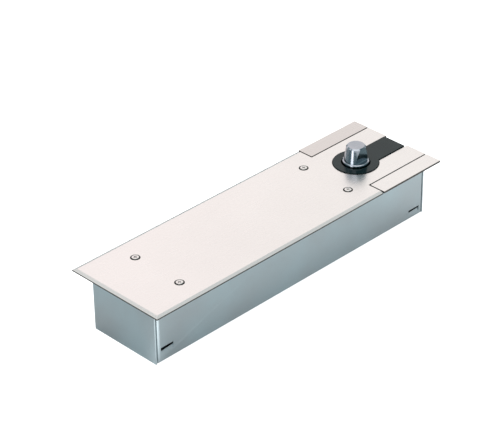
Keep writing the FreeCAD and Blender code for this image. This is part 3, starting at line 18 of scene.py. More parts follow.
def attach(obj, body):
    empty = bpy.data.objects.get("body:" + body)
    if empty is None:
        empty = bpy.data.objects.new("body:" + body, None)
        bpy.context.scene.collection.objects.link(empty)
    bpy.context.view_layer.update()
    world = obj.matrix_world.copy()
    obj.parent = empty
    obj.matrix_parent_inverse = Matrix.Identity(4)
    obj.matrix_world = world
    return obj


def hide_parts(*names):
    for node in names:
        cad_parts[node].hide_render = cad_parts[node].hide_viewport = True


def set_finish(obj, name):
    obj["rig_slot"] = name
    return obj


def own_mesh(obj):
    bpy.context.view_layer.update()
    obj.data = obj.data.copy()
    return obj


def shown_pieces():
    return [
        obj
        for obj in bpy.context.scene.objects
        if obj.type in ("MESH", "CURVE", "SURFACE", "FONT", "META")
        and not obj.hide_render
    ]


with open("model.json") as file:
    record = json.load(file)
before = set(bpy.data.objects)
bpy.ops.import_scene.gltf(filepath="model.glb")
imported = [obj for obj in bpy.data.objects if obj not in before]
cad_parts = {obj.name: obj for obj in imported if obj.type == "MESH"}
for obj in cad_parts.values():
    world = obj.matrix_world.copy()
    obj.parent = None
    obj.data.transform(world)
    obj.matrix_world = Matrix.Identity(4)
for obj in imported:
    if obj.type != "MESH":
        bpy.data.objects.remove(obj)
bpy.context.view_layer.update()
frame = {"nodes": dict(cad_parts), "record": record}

# %% [markdown]
# ## The camera
#
# The picture was taken with a long lens from above the far left corner, so parallel edges stay nearly
# parallel. The camera's place and its three directions are given as they were measured, because a tilt
# found by eye would never bring all the corners home at once.

# %% Camera
MM = 0.001
IMAGE_WIDTH = 493
FOCAL_PIXELS = 2052.5
SENSOR = 36.0

camera_right = Vector((0.70794, -0.70617, -0.01182))
camera_up = Vector((0.38268, 0.36946, 0.84679))
turning = Matrix((camera_right, camera_up, camera_right.cross(camera_up))).transposed()
camera_data = bpy.data.cameras.new("studio_camera")
camera_data.sensor_width = SENSOR
camera_data.lens = FOCAL_PIXELS * SENSOR / IMAGE_WIDTH
camera_data.clip_start = 0.05
camera = bpy.data.objects.new("studio_camera", camera_data)
camera.matrix_world = Matrix.Translation((-1.2204, -1.0964, 0.9653)) @ turning.to_4x4()
bpy.context.scene.collection.objects.link(camera)
bpy.context.scene.camera = camera
bpy.context.scene.view_settings.view_transform = "Standard"
print("lens", round(camera_data.lens, 1), "mm")

# %% [markdown]
# ## Modelling in millimetres
#
# Every new shape starts as a bmesh in millimetres, which keeps the numbers the same as on a drawing.
# A few helpers cover what a workshop does: a block, a drum, a turned shape, and a cut. The last helper
# scales the finished mesh to metres, rounds its edges a little and hangs it on its body, so each object
# stays at the origin with its place in its mesh. Folds of 12 to 32 degrees are too flat to round, so a
# crisp piece has them marked sharp, or the light would run smoothly across them.

# %% Workshop helpers
ROUND_SIDES = 96
HAIR = 0.01
CRISP_FROM, ROUNDED_FROM = math.radians(12), math.radians(32)


def block(low, high):
    """A rectangular bar between two corners."""
    bm = bmesh.new()
    bmesh.ops.create_cube(bm, size=1.0)
    bmesh.ops.scale(bm, vec=Vector(high) - Vector(low), verts=bm.verts)
    bmesh.ops.translate(bm, vec=(Vector(high) + Vector(low)) / 2, verts=bm.verts)
    return bm


def drum(x, y, low, high, low_radius, high_radius=None):
    """An upright cylinder, or a cone when its upper radius is given too."""
    bm = bmesh.new()
    bmesh.ops.create_cone(bm, cap_ends=True, segments=ROUND_SIDES, radius1=low_radius,
                          radius2=high_radius or low_radius, depth=high - low)
    bmesh.ops.translate(bm, vec=(x, y, (high + low) / 2), verts=bm.verts)
    return bm


def turned(outline, steps=ROUND_SIDES):
    """A shape turned about the upright axis from (radius, height) points."""
    bm = bmesh.new()
    points = [bm.verts.new((radius, 0, height)) for radius, height in outline]
    lines = [bm.edges.new(pair) for pair in zip(points, points[1:])]
    bmesh.ops.spin(bm, geom=points + lines, cent=(0, 0, 0), axis=(0, 0, 1), angle=math.tau,
                   steps=steps, use_merge=True)
    bmesh.ops.remove_doubles(bm, verts=bm.verts, dist=1e-4)
    return bm


def only_corners(grown):
    """The vertices among what an extrusion made."""
    return [item for item in grown["geom"] if isinstance(item, bmesh.types.BMVert)]


def raw_shape(name, bm):
    """An object in millimetres, still to be cut and finished."""
    bmesh.ops.recalc_face_normals(bm, faces=bm.faces)
    mesh = bpy.data.meshes.new(name)
    bm.to_mesh(mesh)
    bm.free()
    shape = bpy.data.objects.new(name, mesh)
    bpy.context.scene.collection.objects.link(shape)
    return shape


def combine(shape, bm, operation="DIFFERENCE"):
    """Cuts a bmesh out of a shape, or joins it on."""
    tool = raw_shape("tool", bm)
    step = shape.modifiers.new("step", "BOOLEAN")
    step.object = tool
    step.operation = operation
    step.solver = "EXACT"
    bpy.context.view_layer.update()
    seen = shape.evaluated_get(bpy.context.evaluated_depsgraph_get())
    result = bpy.data.meshes.new_from_object(seen)
    shape.modifiers.clear()
    before = shape.data
    shape.data = result
    result.name = shape.name
    bpy.data.meshes.remove(before)
    bpy.data.meshes.remove(tool.data)


def finish_piece(shape, body, slot, nodes=(), edge=0.15, segments=2, crisp=False):
    """Scales a shape to metres, rounds its edges and hangs it on its body."""
    shape.data.transform(Matrix.Scale(MM, 4))
    shape.data.shade_smooth()
    if crisp:
        bm = bmesh.new()
        bm.from_mesh(shape.data)
        for one in bm.edges:
            if len(one.link_faces) == 2 and CRISP_FROM < one.calc_face_angle() < ROUNDED_FROM:
                one.smooth = False
        bm.to_mesh(shape.data)
        bm.free()
    if edge:
        rounding = shape.modifiers.new("rounded_edges", "BEVEL")
        rounding.width = edge * MM
        rounding.segments = segments
        rounding.limit_method = "ANGLE"
        rounding.angle_limit = ROUNDED_FROM
        rounding.harden_normals = True
    else:
        shape.data.set_sharp_from_angle(angle=ROUNDED_FROM)
    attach(shape, body)
    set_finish(shape, slot)
    if nodes:
        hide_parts(*nodes)
    print(shape.name, len(shape.data.polygons), "faces")


# %% [markdown]
# ## Cover plate and filler strips
#
# The cover is 2 mm stainless sheet with a wide bevel on all sides but the spindle's end, which is cut off
# square. The bevel is made by insetting the top face and lowering the old rim, because a bevel tool can't
# make a rim that is wider than it is high, and the slab is then sawn off at its square end. The two filler
# strips beside the spindle are cut from flat sheet with square edges.
# The plate's notches, the keyhole for the surround and the screw seats are cut out last.

# %% Slab with the bevelled rim
PLATE_FAR, PLATE_NEAR = -300.5, 57.0
PLATE_HALF = 53.75
PLATE_GAUGE = 2.0
BEVEL_RUN, BEVEL_DROP = 3.4, 1.4


def keep_side(bm, place, normal):
    """Saws a solid through at a plane and keeps what the normal points at."""
    geometry = bm.verts[:] + bm.edges[:] + bm.faces[:]
    bmesh.ops.bisect_plane(bm, geom=geometry, plane_co=place, plane_no=normal, clear_inner=True)
    bmesh.ops.holes_fill(bm, edges=[edge for edge in bm.edges if edge.is_boundary])


def bevelled_slab():
    """The whole cover outline as one slab."""
    waste = PLATE_NEAR + 2 * BEVEL_RUN
    bm = block((PLATE_FAR, -PLATE_HALF, -PLATE_GAUGE), (waste, PLATE_HALF, 0))
    top = [face for face in bm.faces if face.calc_center_median().z > -HAIR]
    bmesh.ops.inset_region(bm, faces=top, thickness=BEVEL_RUN, use_even_offset=True)
    rim = [v for v in bm.verts if v.co.z > -HAIR and (
        abs(v.co.y) > PLATE_HALF - HAIR or v.co.x < PLATE_FAR + HAIR or v.co.x > waste - HAIR)]
    bmesh.ops.translate(bm, vec=(0, 0, -BEVEL_DROP), verts=rim)
    keep_side(bm, (PLATE_NEAR, 0, 0), (-1, 0, 0))
    return bm


# %% Cover plate
STRIP_INNER, STRIP_FAR = 36.95, -20.4
SEAM, END_SEAM = 1.25, 1.3
SURROUND_RADIUS, TONGUE_HALF, SURROUND_GAP = 21.5, 12.5, 0.5
SCREW_PLACES = [(x, y) for x in (-40.7, -250.5) for y in (27.75, -27.75)]
SCREW_HEAD, SEAT_TOP = 3.35, 4.6
CUT_LOW, CUT_HIGH, SEAT_HIGH = -3, 1, 0.5

cover = raw_shape("cover_sheet", bevelled_slab())
for side in (1, -1):
    edges = sorted((side * (STRIP_INNER - SEAM), side * (PLATE_HALF + 1)))
    combine(cover, block((STRIP_FAR - END_SEAM, edges[0], CUT_LOW), (PLATE_NEAR + 1, edges[1], CUT_HIGH)))
combine(cover, drum(0, 0, CUT_LOW, CUT_HIGH, SURROUND_RADIUS + SURROUND_GAP))
slot_half = TONGUE_HALF + SURROUND_GAP
combine(cover, block((0, -slot_half, CUT_LOW), (PLATE_NEAR + 1, slot_half, CUT_HIGH)))
for x, y in SCREW_PLACES:
    combine(cover, drum(x, y, CUT_LOW, SEAT_HIGH, SEAT_TOP + CUT_LOW, SEAT_TOP + SEAT_HIGH))
finish_piece(cover, "floor_box", "satin_stainless", ["cover_plate"], edge=0.12, crisp=True)

# %% Filler strips with their backing tabs
BACKING_SHIFT = 6
BACKING_FAR, BACKING_NEAR = STRIP_FAR + 2, 50.5
BACKING_LOW, BACKING_HIGH = -3.2, -1.99
for name, side in (("strip_back", 1), ("strip_front", -1)):
    edges = sorted((side * STRIP_INNER, side * PLATE_HALF))
    strip = raw_shape(name, block((STRIP_FAR, edges[0], -PLATE_GAUGE), (PLATE_NEAR, edges[1], 0)))
    edges = sorted((side * (STRIP_INNER - BACKING_SHIFT), side * (PLATE_HALF - BACKING_SHIFT)))
    backing = block((BACKING_FAR, edges[0], BACKING_LOW), (BACKING_NEAR, edges[1], BACKING_HIGH))
    combine(strip, backing, "UNION")
    finish_piece(strip, "floor_box", "satin_stainless", [name.replace("strip", "filler_strip")], edge=0.12)

# %% [markdown]
# ## Spindle surround
#
# The black moulding fills the keyhole of the plate and stands a little above it. The disc, the tongue
# and the skirt below them are joined first, then the bore is cut, so that one rounding runs round all
# the edges as on a real moulding.

# %% Surround
SURROUND_LOW, SURROUND_TOP = -2, 0.9
SKIRT_LOW, SKIRT_ROOF, SKIRT_WALL = -11, -4.4, 1.6
BORE_RADIUS = 13.7
surround = raw_shape("surround_moulding", drum(0, 0, SURROUND_LOW, SURROUND_TOP, SURROUND_RADIUS))
tongue = block((0, -TONGUE_HALF, SURROUND_LOW), (PLATE_NEAR - BEVEL_RUN, TONGUE_HALF, SURROUND_TOP))
combine(surround, tongue, "UNION")
combine(surround, drum(0, 0, SKIRT_LOW, SURROUND_LOW + 0.1, SURROUND_RADIUS), "UNION")
combine(surround, drum(0, 0, SKIRT_LOW - 1, SKIRT_ROOF, SURROUND_RADIUS - SKIRT_WALL))
combine(surround, drum(0, 0, SKIRT_LOW - 1, SURROUND_TOP + 1.1, BORE_RADIUS))
finish_piece(surround, "floor_box", "black_plastic", ["spindle_surround"], edge=0.12)

# %% [markdown]
# ## Spindle and heart cam
#
# Spindle, shaft and cam are one forging. The round parts are turned from one outline. Two flats are
# milled on the cone down to the collar. The heart cam is a circle whose points are moved in or out to
# the cam's own curve, then given its thickness.

# %% Turned shaft
LEDGE, TOP = 3.5, 18.6
shaft = raw_shape("spindle_forging", turned([
    (0, -54.5), (6.7, -54.5), (8, -53.2), (8, -44), (10, -44), (10, -39), (8.84, -39), (8.84, -27),
    (10, -27), (10, -20.5), (12.5, -20.5), (12.5, LEDGE - 1.2), (12.35, LEDGE - 0.6), (11.7, LEDGE - 0.08),
    (11.5, LEDGE), (11.3, LEDGE),
    (9.2, TOP - 1.3), (7.9, TOP), (0, TOP)]))

# %% Flats on the cone
FLAT_FOOT, FLAT_TOP, FOOT_FILLET = 7.3, 8.5, 0.8
OUT = 20
for side in (1, -1):
    cutter = block((-OUT, 0, LEDGE), (OUT, OUT, TOP))
    for v in cutter.verts:
        if v.co.y < OUT / 2:
            v.co.y = FLAT_FOOT if v.co.z < LEDGE + HAIR else FLAT_TOP
    foot = [edge for edge in cutter.edges
            if all(v.co.y < OUT / 2 and v.co.z < LEDGE + HAIR for v in edge.verts)]
    bmesh.ops.bevel(cutter, geom=foot, offset=FOOT_FILLET, segments=4, profile=0.5, affect="EDGES",
                    material=-1)
    if side < 0:
        bmesh.ops.scale(cutter, vec=(1, -1, 1), verts=cutter.verts)
    combine(shaft, cutter)

# %% Heart cam
REST_RADIUS, REACH = 16.0, 7.1
CARRIAGE_TRAVEL, SWING = 11.0, math.radians(130)
RISE = CARRIAGE_TRAVEL / SWING
LOBE_ANGLE = 2.93
CAM_LOW, CAM_GAUGE = -39, 12


def cam_point(angle):
    """Edge of the cam at a given angle from its pocket: a roller's reach inside the roller's path."""
    radius = REST_RADIUS + RISE * angle
    out = Vector((-math.cos(angle), math.sin(angle), 0))
    onward = Vector((math.sin(angle), math.cos(angle), 0))
    return out * radius - (out * radius - onward * RISE).normalized() * REACH


cam = bmesh.new()
ring = bmesh.ops.create_circle(cam, cap_ends=True, segments=ROUND_SIDES, radius=1)["verts"]
half = ROUND_SIDES // 2
for number, point in enumerate(ring):
    turn = abs(number - half) / half
    spot = cam_point(turn * LOBE_ANGLE)
    point.co = Vector((spot.x, spot.y if number > half else -spot.y, CAM_LOW))
grown = bmesh.ops.extrude_face_region(cam, geom=cam.faces[:])
bmesh.ops.translate(cam, vec=(0, 0, CAM_GAUGE), verts=only_corners(grown))
combine(shaft, cam, "UNION")
finish_piece(shaft, "spindle", "plated_forging", ["camshaft"], edge=0.2, segments=3, crisp=True)

# %% [markdown]
# ## Cover screws
#
# Raised countersunk heads with a cross recess. The rim of each head stands in a seat that is 1.25 mm wider
# all round, and the shadow in that ring is what draws the dark arc round each screw.

# %% Screws
HEAD_SIDES = 48
SCREW_OUTLINE = [(0, -10), (2, -10), (2, -2.4), (SCREW_HEAD, -0.5), (SCREW_HEAD - 0.05, 0.36),
                 (3.05, 0.52), (2.4, 0.55), (0, 0.55)]
CROSS_ARM, CROSS_HALF, CROSS_LOW, CROSS_TAPER = 1.9, 0.42, -1.15, 0.55
screws = bmesh.new()
for x, y in SCREW_PLACES:
    one = turned(SCREW_OUTLINE, steps=HEAD_SIDES)
    bmesh.ops.translate(one, vec=(x, y, 0), verts=one.verts)
    scratch = bpy.data.meshes.new("scratch")
    one.to_mesh(scratch)
    one.free()
    screws.from_mesh(scratch)
    bpy.data.meshes.remove(scratch)
heads = raw_shape("cover_fasteners", screws)
for x, y in SCREW_PLACES:
    for arm, half_width in ((CROSS_ARM, CROSS_HALF), (CROSS_HALF, CROSS_ARM)):
        recess = block((x - arm, y - half_width, CROSS_LOW), (x + arm, y + half_width, CUT_HIGH))
        bmesh.ops.scale(recess, vec=(CROSS_TAPER, CROSS_TAPER, 1), space=Matrix.Translation((-x, -y, 0)),
                        verts=[v for v in recess.verts if v.co.z < 0])
        combine(heads, recess)
finish_piece(heads, "floor_box", "cover_screw_steel", ["cover_screws"], edge=0.06)

# %% [markdown]
# ## Cement box
#
# The box is folded from zinc-plated sheet. Each long wall is bent round at both ends into a tab that lies
# behind the end panel, so a narrow groove runs down every corner. A thin outline is pushed up or along,
# its folds are rounded, and the sheet then gets its thickness inwards, in the order a press brake works.
# A wall is made in two halves, because its far end is bent to a wider rounding than its near end.
# The anchor slots are cut last, each with a slanting dent below it where the strip was pressed in.

# %% Folding helpers
BOX_NEAR, BOX_FAR = 52.0, -290.5
BOX_FLOOR, BOX_TOP = -60.0, -3.2
WALL, SHEET = 39.0, 1.5
FOLD_STEPS, FOLD_ANGLE = 8, 0.5


def folded_sheet(line, push, bend, inside):
    """A sheet pushed out from an open line, its folds rounded, thickened towards a point inside it."""
    bm = bmesh.new()
    points = [bm.verts.new(spot) for spot in line]
    lines = [bm.edges.new(pair) for pair in zip(points, points[1:])]
    grown = bmesh.ops.extrude_edge_only(bm, edges=lines)
    bmesh.ops.translate(bm, vec=push, verts=only_corners(grown))
    folds = [edge for edge in bm.edges if len(edge.link_faces) == 2 and edge.calc_face_angle() > FOLD_ANGLE]
    bmesh.ops.bevel(bm, geom=folds, offset=bend, segments=FOLD_STEPS, profile=0.5, affect="EDGES",
                    material=-1)
    bmesh.ops.recalc_face_normals(bm, faces=bm.faces)
    face = max(bm.faces, key=lambda one: one.calc_area())
    outward = face.normal.dot(face.calc_center_median() - Vector(inside)) > 0
    bmesh.ops.solidify(bm, geom=bm.faces[:], thickness=SHEET if outward else -SHEET)
    return bm


# %% Trough: its corners
GAP_FAR, GAP_NEAR = 1.0, 0.15
BEND_FAR, BEND_NEAR, BEND = 3.0, 1.8, 1.7
trough_far, trough_near = BOX_FAR + SHEET + GAP_FAR, BOX_NEAR - SHEET - GAP_NEAR


def corner_waste(x, y, way_x, way_y, bend):
    """What lies outside an upright rounding at a corner; the ways point from the corner inwards."""
    bm = bmesh.new()
    centre = (x + way_x * bend, y + way_y * bend, BOX_FLOOR - 1)
    start = bm.verts.new((x, centre[1], centre[2]))
    bmesh.ops.spin(bm, geom=[start], cent=centre, axis=(0, 0, 1), angle=way_x * way_y * math.pi / 2,
                   steps=FOLD_STEPS)
    corners = ((centre[0], y - way_y), (x - way_x, y - way_y), (x - way_x, centre[1]))
    outside = [bm.verts.new((*corner, centre[2])) for corner in corners]
    bm.faces.new([v for v in bm.verts if v not in outside] + outside)
    grown = bmesh.ops.extrude_face_region(bm, geom=bm.faces[:])
    bmesh.ops.translate(bm, vec=(0, 0, BEND + 2), verts=only_corners(grown))
    return bm


print("trough", round(trough_near - trough_far, 2), "mm long")

# %% Trough: its floor and walls
WALL_BASE = BOX_FLOOR + BEND
TAB = WALL - SHEET - 12
HALVES_MEET, MID_LEVEL = -120, -30
FILL_INNER, FILL_OUTER, FILL_LONG, FILL_HIGH = 6, 1.6, 5, 3
pan = [(trough_far, -WALL, WALL_BASE), (trough_far, -WALL, BOX_FLOOR),
       (trough_far, WALL, BOX_FLOOR), (trough_far, WALL, WALL_BASE)]
floor_sheet = folded_sheet(pan, (trough_near - trough_far, 0, 0), BEND - 0.05, (HALVES_MEET, 0, MID_LEVEL))
trough = raw_shape("folded_trough", floor_sheet)
for x, way_x, bend in ((trough_far, 1, BEND_FAR), (trough_near, -1, BEND_NEAR)):
    for way_y in (1, -1):
        combine(trough, corner_waste(x, -way_y * WALL, way_x, way_y, bend))
for side in (1, -1):
    for end, bend in ((trough_far, BEND_FAR), (trough_near, BEND_NEAR)):
        line = [(end, side * TAB, WALL_BASE), (end, side * WALL, WALL_BASE),
                (HALVES_MEET, side * WALL, WALL_BASE)]
        middle = ((end + HALVES_MEET) / 2, 0, MID_LEVEL)
        combine(trough, folded_sheet(line, (0, 0, BOX_TOP - BOX_FLOOR - BEND), bend, middle), "UNION")
    edges = sorted((side * (WALL - FILL_OUTER), side * (WALL - FILL_INNER)))
    fill = block((BOX_FAR + SHEET + 0.05, edges[0], BOX_FLOOR),
                 (trough_far + FILL_LONG, edges[1], BOX_FLOOR + FILL_HIGH))
    combine(trough, fill, "UNION")

# %% Anchor slots and their dents
DENT, PRESS, OVERLAP = 5.0, 1.3, 0.1
SLOTS = [(31.7, 46.0, -52.9, 2.7, 0.5), (-284.5, -270.2, -48.4, 3.2, 0.9)]
for low, high, level, opening, sag in SLOTS:
    slot = block((low, -WALL - 1, level), (high, WALL + 1, level + opening))
    for v in slot.verts:
        if v.co.z < level + HAIR and v.co.x < low + HAIR:
            v.co.z -= sag
    combine(trough, slot)
    for side in (1, -1):
        dent = block((low, 0, level - DENT), (high, 1, level + OVERLAP))
        for v in dent.verts:
            v.co.y = side * (WALL + 0.5 if v.co.y > 0.5 or v.co.z < level else WALL - PRESS)
        bmesh.ops.remove_doubles(dent, verts=dent.verts, dist=HAIR)
        combine(trough, dent)
finish_piece(trough, "floor_box", "zinc_sheet", ["box_trough"], edge=0.15)

# %% End panels
PANEL = WALL - 0.1
for name, low in (("end_panel_near", BOX_NEAR - SHEET), ("end_panel_far", BOX_FAR)):
    panel = raw_shape(name, block((low, -PANEL, BOX_FLOOR), (low + SHEET, PANEL, BOX_TOP)))
    node = name.replace("end_panel", "box_end")
    finish_piece(panel, "floor_box", "zinc_sheet", [node], edge=0.4, segments=3)

# %% [markdown]
# ## Closing springs
#
# Two coil springs, one inside the other, push the piston towards the spindle. They could keep their solids,
# but a solid never gets shorter, and the piston would run into the last coils. So each is wound here from
# one ring of wire and given a mesh of its own.

# %% Springs
SPRING_FAR, SPRING_NEAR, AXIS_LEVEL = -248.7, -99.7, -33.0
STEPS_PER_TURN, WIRE_SIDES = 32, 16
for name, wire, mean, turns in (("outer_spring", 6.5, 29.0, 11), ("inner_spring", 3.0, 17.5, 15)):
    coil = bmesh.new()
    ring = bmesh.ops.create_circle(coil, segments=WIRE_SIDES, radius=wire / 2)["verts"]
    bmesh.ops.rotate(coil, cent=(0, 0, 0), matrix=Matrix.Rotation(math.pi / 2, 3, "X"), verts=ring)
    bmesh.ops.translate(coil, vec=(SPRING_FAR + wire / 2, 0, AXIS_LEVEL + mean / 2), verts=ring)
    steps = turns * STEPS_PER_TURN
    advance = (SPRING_NEAR - SPRING_FAR - wire) / steps
    bmesh.ops.spin(coil, geom=coil.verts[:] + coil.edges[:], cent=(0, 0, AXIS_LEVEL), axis=(1, 0, 0),
                   dvec=(advance, 0, 0), angle=turns * math.tau, steps=steps)
    bmesh.ops.holes_fill(coil, edges=[edge for edge in coil.edges if edge.is_boundary])
    spring = raw_shape(name + "_coil", coil)
    finish_piece(spring, "floor_box", "spring_steel", [name], edge=0)
    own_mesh(spring)

# %% [markdown]
# ## Shared effects
#
# Four effects are node groups with inputs of their own. All finishes share two of them: a fine grain that
# runs one way, and large soft clouds that keep a plated or cast face from looking like plain paint. The
# other two are for the plate and its strips: a darker tone on the strip at the back, and painted shade: a
# near-black colour on every face that doesn't look upwards and on all that lies deeper than 1.2 mm. It
# paints the dark line of shadow under the plate's edges and in its seams, far darker than cut steel is in
# itself.

# %% Node helpers
def join(tree, source, target):
    """Joins two sockets, or gives a socket a plain value."""
    if isinstance(source, bpy.types.NodeSocket):
        tree.links.new(source, target)
    else:
        target.default_value = source


def numbers(tree, operation, *values):
    """One step of arithmetic on numbers."""
    step = tree.nodes.new("ShaderNodeMath")
    step.operation = operation
    for value, target in zip(values, step.inputs):
        join(tree, value, target)
    return step.outputs[0]


def vectors(tree, operation, *values):
    """One step of arithmetic on vectors. A distance or a dot product comes out as a number."""
    step = tree.nodes.new("ShaderNodeVectorMath")
    step.operation = operation
    for value, target in zip(values, step.inputs):
        join(tree, value, target)
    return step.outputs["Value" if operation in ("DISTANCE", "DOT_PRODUCT") else "Vector"]


def split(tree, source):
    """The X, Y and Z of a vector."""
    parts = tree.nodes.new("ShaderNodeSeparateXYZ")
    join(tree, source, parts.inputs[0])
    return parts.outputs


def ramp(tree, source, low, high, start=0.0, end=1.0, kind="LINEAR"):
    """A slope between two values that stays level beyond them."""
    step = tree.nodes.new("ShaderNodeMapRange")
    step.interpolation_type = kind
    for label, value in (("From Min", low), ("From Max", high), ("To Min", start), ("To Max", end)):
        join(tree, value, step.inputs[label])
    join(tree, source, step.inputs["Value"])
    return step.outputs["Result"]


def blend(tree, mask, below, above):
    """Lays one colour over another where the mask is full."""
    layer = tree.nodes.new("ShaderNodeMix")
    layer.data_type = "RGBA"
    join(tree, mask, layer.inputs["Factor"])
    join(tree, below, layer.inputs["A"])
    join(tree, above, layer.inputs["B"])
    return layer.outputs["Result"]


# %% Group helpers
def new_group(name, inputs, outputs):
    """An empty node group with its sockets: (name, kind, value)."""
    group = bpy.data.node_groups.new(name, "ShaderNodeTree")
    for label, kind, value in inputs:
        socket = group.interface.new_socket(name=label, in_out="INPUT", socket_type=kind)
        socket.default_value = value
    for label, kind in outputs:
        group.interface.new_socket(name=label, in_out="OUTPUT", socket_type=kind)
    return group, group.nodes.new("NodeGroupInput").outputs, group.nodes.new("NodeGroupOutput").inputs


def place_group(tree, group, **values):
    """Puts a group into a material, with its own values or sockets on the group's inputs."""
    placed = tree.nodes.new("ShaderNodeGroup")
    placed.node_tree = group
    for label, value in values.items():
        join(tree, value, placed.inputs[label])
    return placed.outputs


# %% Grain group
GRAIN_DETAIL, GRAIN_HEIGHT = 3.0, 0.0001
grain, entry, leave = new_group("directed_grain", [
    ("Density", "NodeSocketVector", (40.0, 2500.0, 2500.0)), ("Depth", "NodeSocketFloat", 0.1)],
    [("Grain", "NodeSocketFloat"), ("Normal", "NodeSocketVector")])
place = grain.nodes.new("ShaderNodeTexCoord").outputs["Object"]
noise = grain.nodes.new("ShaderNodeTexNoise")
relief = grain.nodes.new("ShaderNodeBump")
join(grain, vectors(grain, "MULTIPLY", place, entry["Density"]), noise.inputs["Vector"])
join(grain, 1.0, noise.inputs["Scale"])
join(grain, GRAIN_DETAIL, noise.inputs["Detail"])
join(grain, noise.outputs["Fac"], relief.inputs["Height"])
join(grain, GRAIN_HEIGHT, relief.inputs["Distance"])
join(grain, entry["Depth"], relief.inputs["Strength"])
join(grain, noise.outputs["Fac"], leave["Grain"])
join(grain, relief.outputs["Normal"], leave["Normal"])
print(grain.name)

# %% Cloud group
CLOUD_DETAIL, CLOUD_SPAN = 4.0, (0.35, 0.65)
clouds, entry, leave = new_group("soft_clouds", [
    ("Size", "NodeSocketFloat", 30.0), ("Light", "NodeSocketColor", (1, 1, 1, 1)),
    ("Dark", "NodeSocketColor", (0.5, 0.5, 0.5, 1))], [("Color", "NodeSocketColor")])
place = clouds.nodes.new("ShaderNodeTexCoord").outputs["Object"]
noise = clouds.nodes.new("ShaderNodeTexNoise")
join(clouds, place, noise.inputs["Vector"])
join(clouds, entry["Size"], noise.inputs["Scale"])
join(clouds, CLOUD_DETAIL, noise.inputs["Detail"])
spread = ramp(clouds, noise.outputs["Fac"], *CLOUD_SPAN)
join(clouds, blend(clouds, spread, entry["Dark"], entry["Light"]), leave["Color"])
print(clouds.name)

# %% Strip tone group
tone, entry, leave = new_group("strip_tone", [
    ("Start", "NodeSocketVector", (0.0, 0.0, 0.0)), ("Bright", "NodeSocketColor", (1, 1, 1, 1)),
    ("Toned", "NodeSocketColor", (0.8, 0.8, 0.8, 1))], [("Color", "NodeSocketColor")])
place = tone.nodes.new("ShaderNodeTexCoord").outputs["Object"]
parts = split(tone, vectors(tone, "SUBTRACT", place, entry["Start"]))
inside = numbers(tone, "GREATER_THAN", numbers(tone, "MINIMUM", parts["X"], parts["Y"]), 0.0)
join(tone, blend(tone, inside, entry["Bright"], entry["Toned"]), leave["Color"])
print(tone.name)

# %% Cut face and painted shade group
# Painted shade: a near-black colour goes on every face that doesn't look upwards and on all that lies below
# the level, for the shadow line under the plate's edges and in its seams.
FACES_UP = 0.8
cut_face_shade, entry, leave = new_group("cut_faces_painted_shade", [
    ("Level", "NodeSocketFloat", 0.0), ("Bright", "NodeSocketColor", (1, 1, 1, 1)),
    ("Dull", "NodeSocketColor", (0.2, 0.2, 0.2, 1))], [("Color", "NodeSocketColor")])
place = cut_face_shade.nodes.new("ShaderNodeTexCoord").outputs
above = numbers(cut_face_shade, "GREATER_THAN", split(cut_face_shade, place["Object"])["Z"], entry["Level"])
level_face = numbers(cut_face_shade, "GREATER_THAN", split(cut_face_shade, place["Normal"])["Z"], FACES_UP)
both = numbers(cut_face_shade, "MULTIPLY", above, level_face)
join(cut_face_shade, blend(cut_face_shade, both, entry["Dull"], entry["Bright"]), leave["Color"])
print(cut_face_shade.name)

# %% [markdown]
# ## Finishes
#
# Each finish is a metal, plastic or rubber with its own colour pair, grain and shine. The grain runs
# along the box on the brushed sheet, as it comes off the belt, and has no direction on castings.

# %% One finish from its numbers
GRAIN_SPAN = (0.3, 0.7)


def finish(name, light, dark, cloud_size, metallic, shine, density, depth):
    """A material: two close colours in clouds, and a grain that changes shine and relief."""
    made = bpy.data.materials.new(name)
    made.use_nodes = True
    tree = made.node_tree
    skin = tree.nodes["Principled BSDF"].inputs
    skin["Metallic"].default_value = metallic
    colour = place_group(tree, clouds, Size=cloud_size, Light=(*light, 1), Dark=(*dark, 1))
    surface = place_group(tree, grain, Density=density, Depth=depth)
    join(tree, colour["Color"], skin["Base Color"])
    join(tree, ramp(tree, surface["Grain"], *GRAIN_SPAN, *shine), skin["Roughness"])
    join(tree, surface["Normal"], skin["Normal"])
    return made


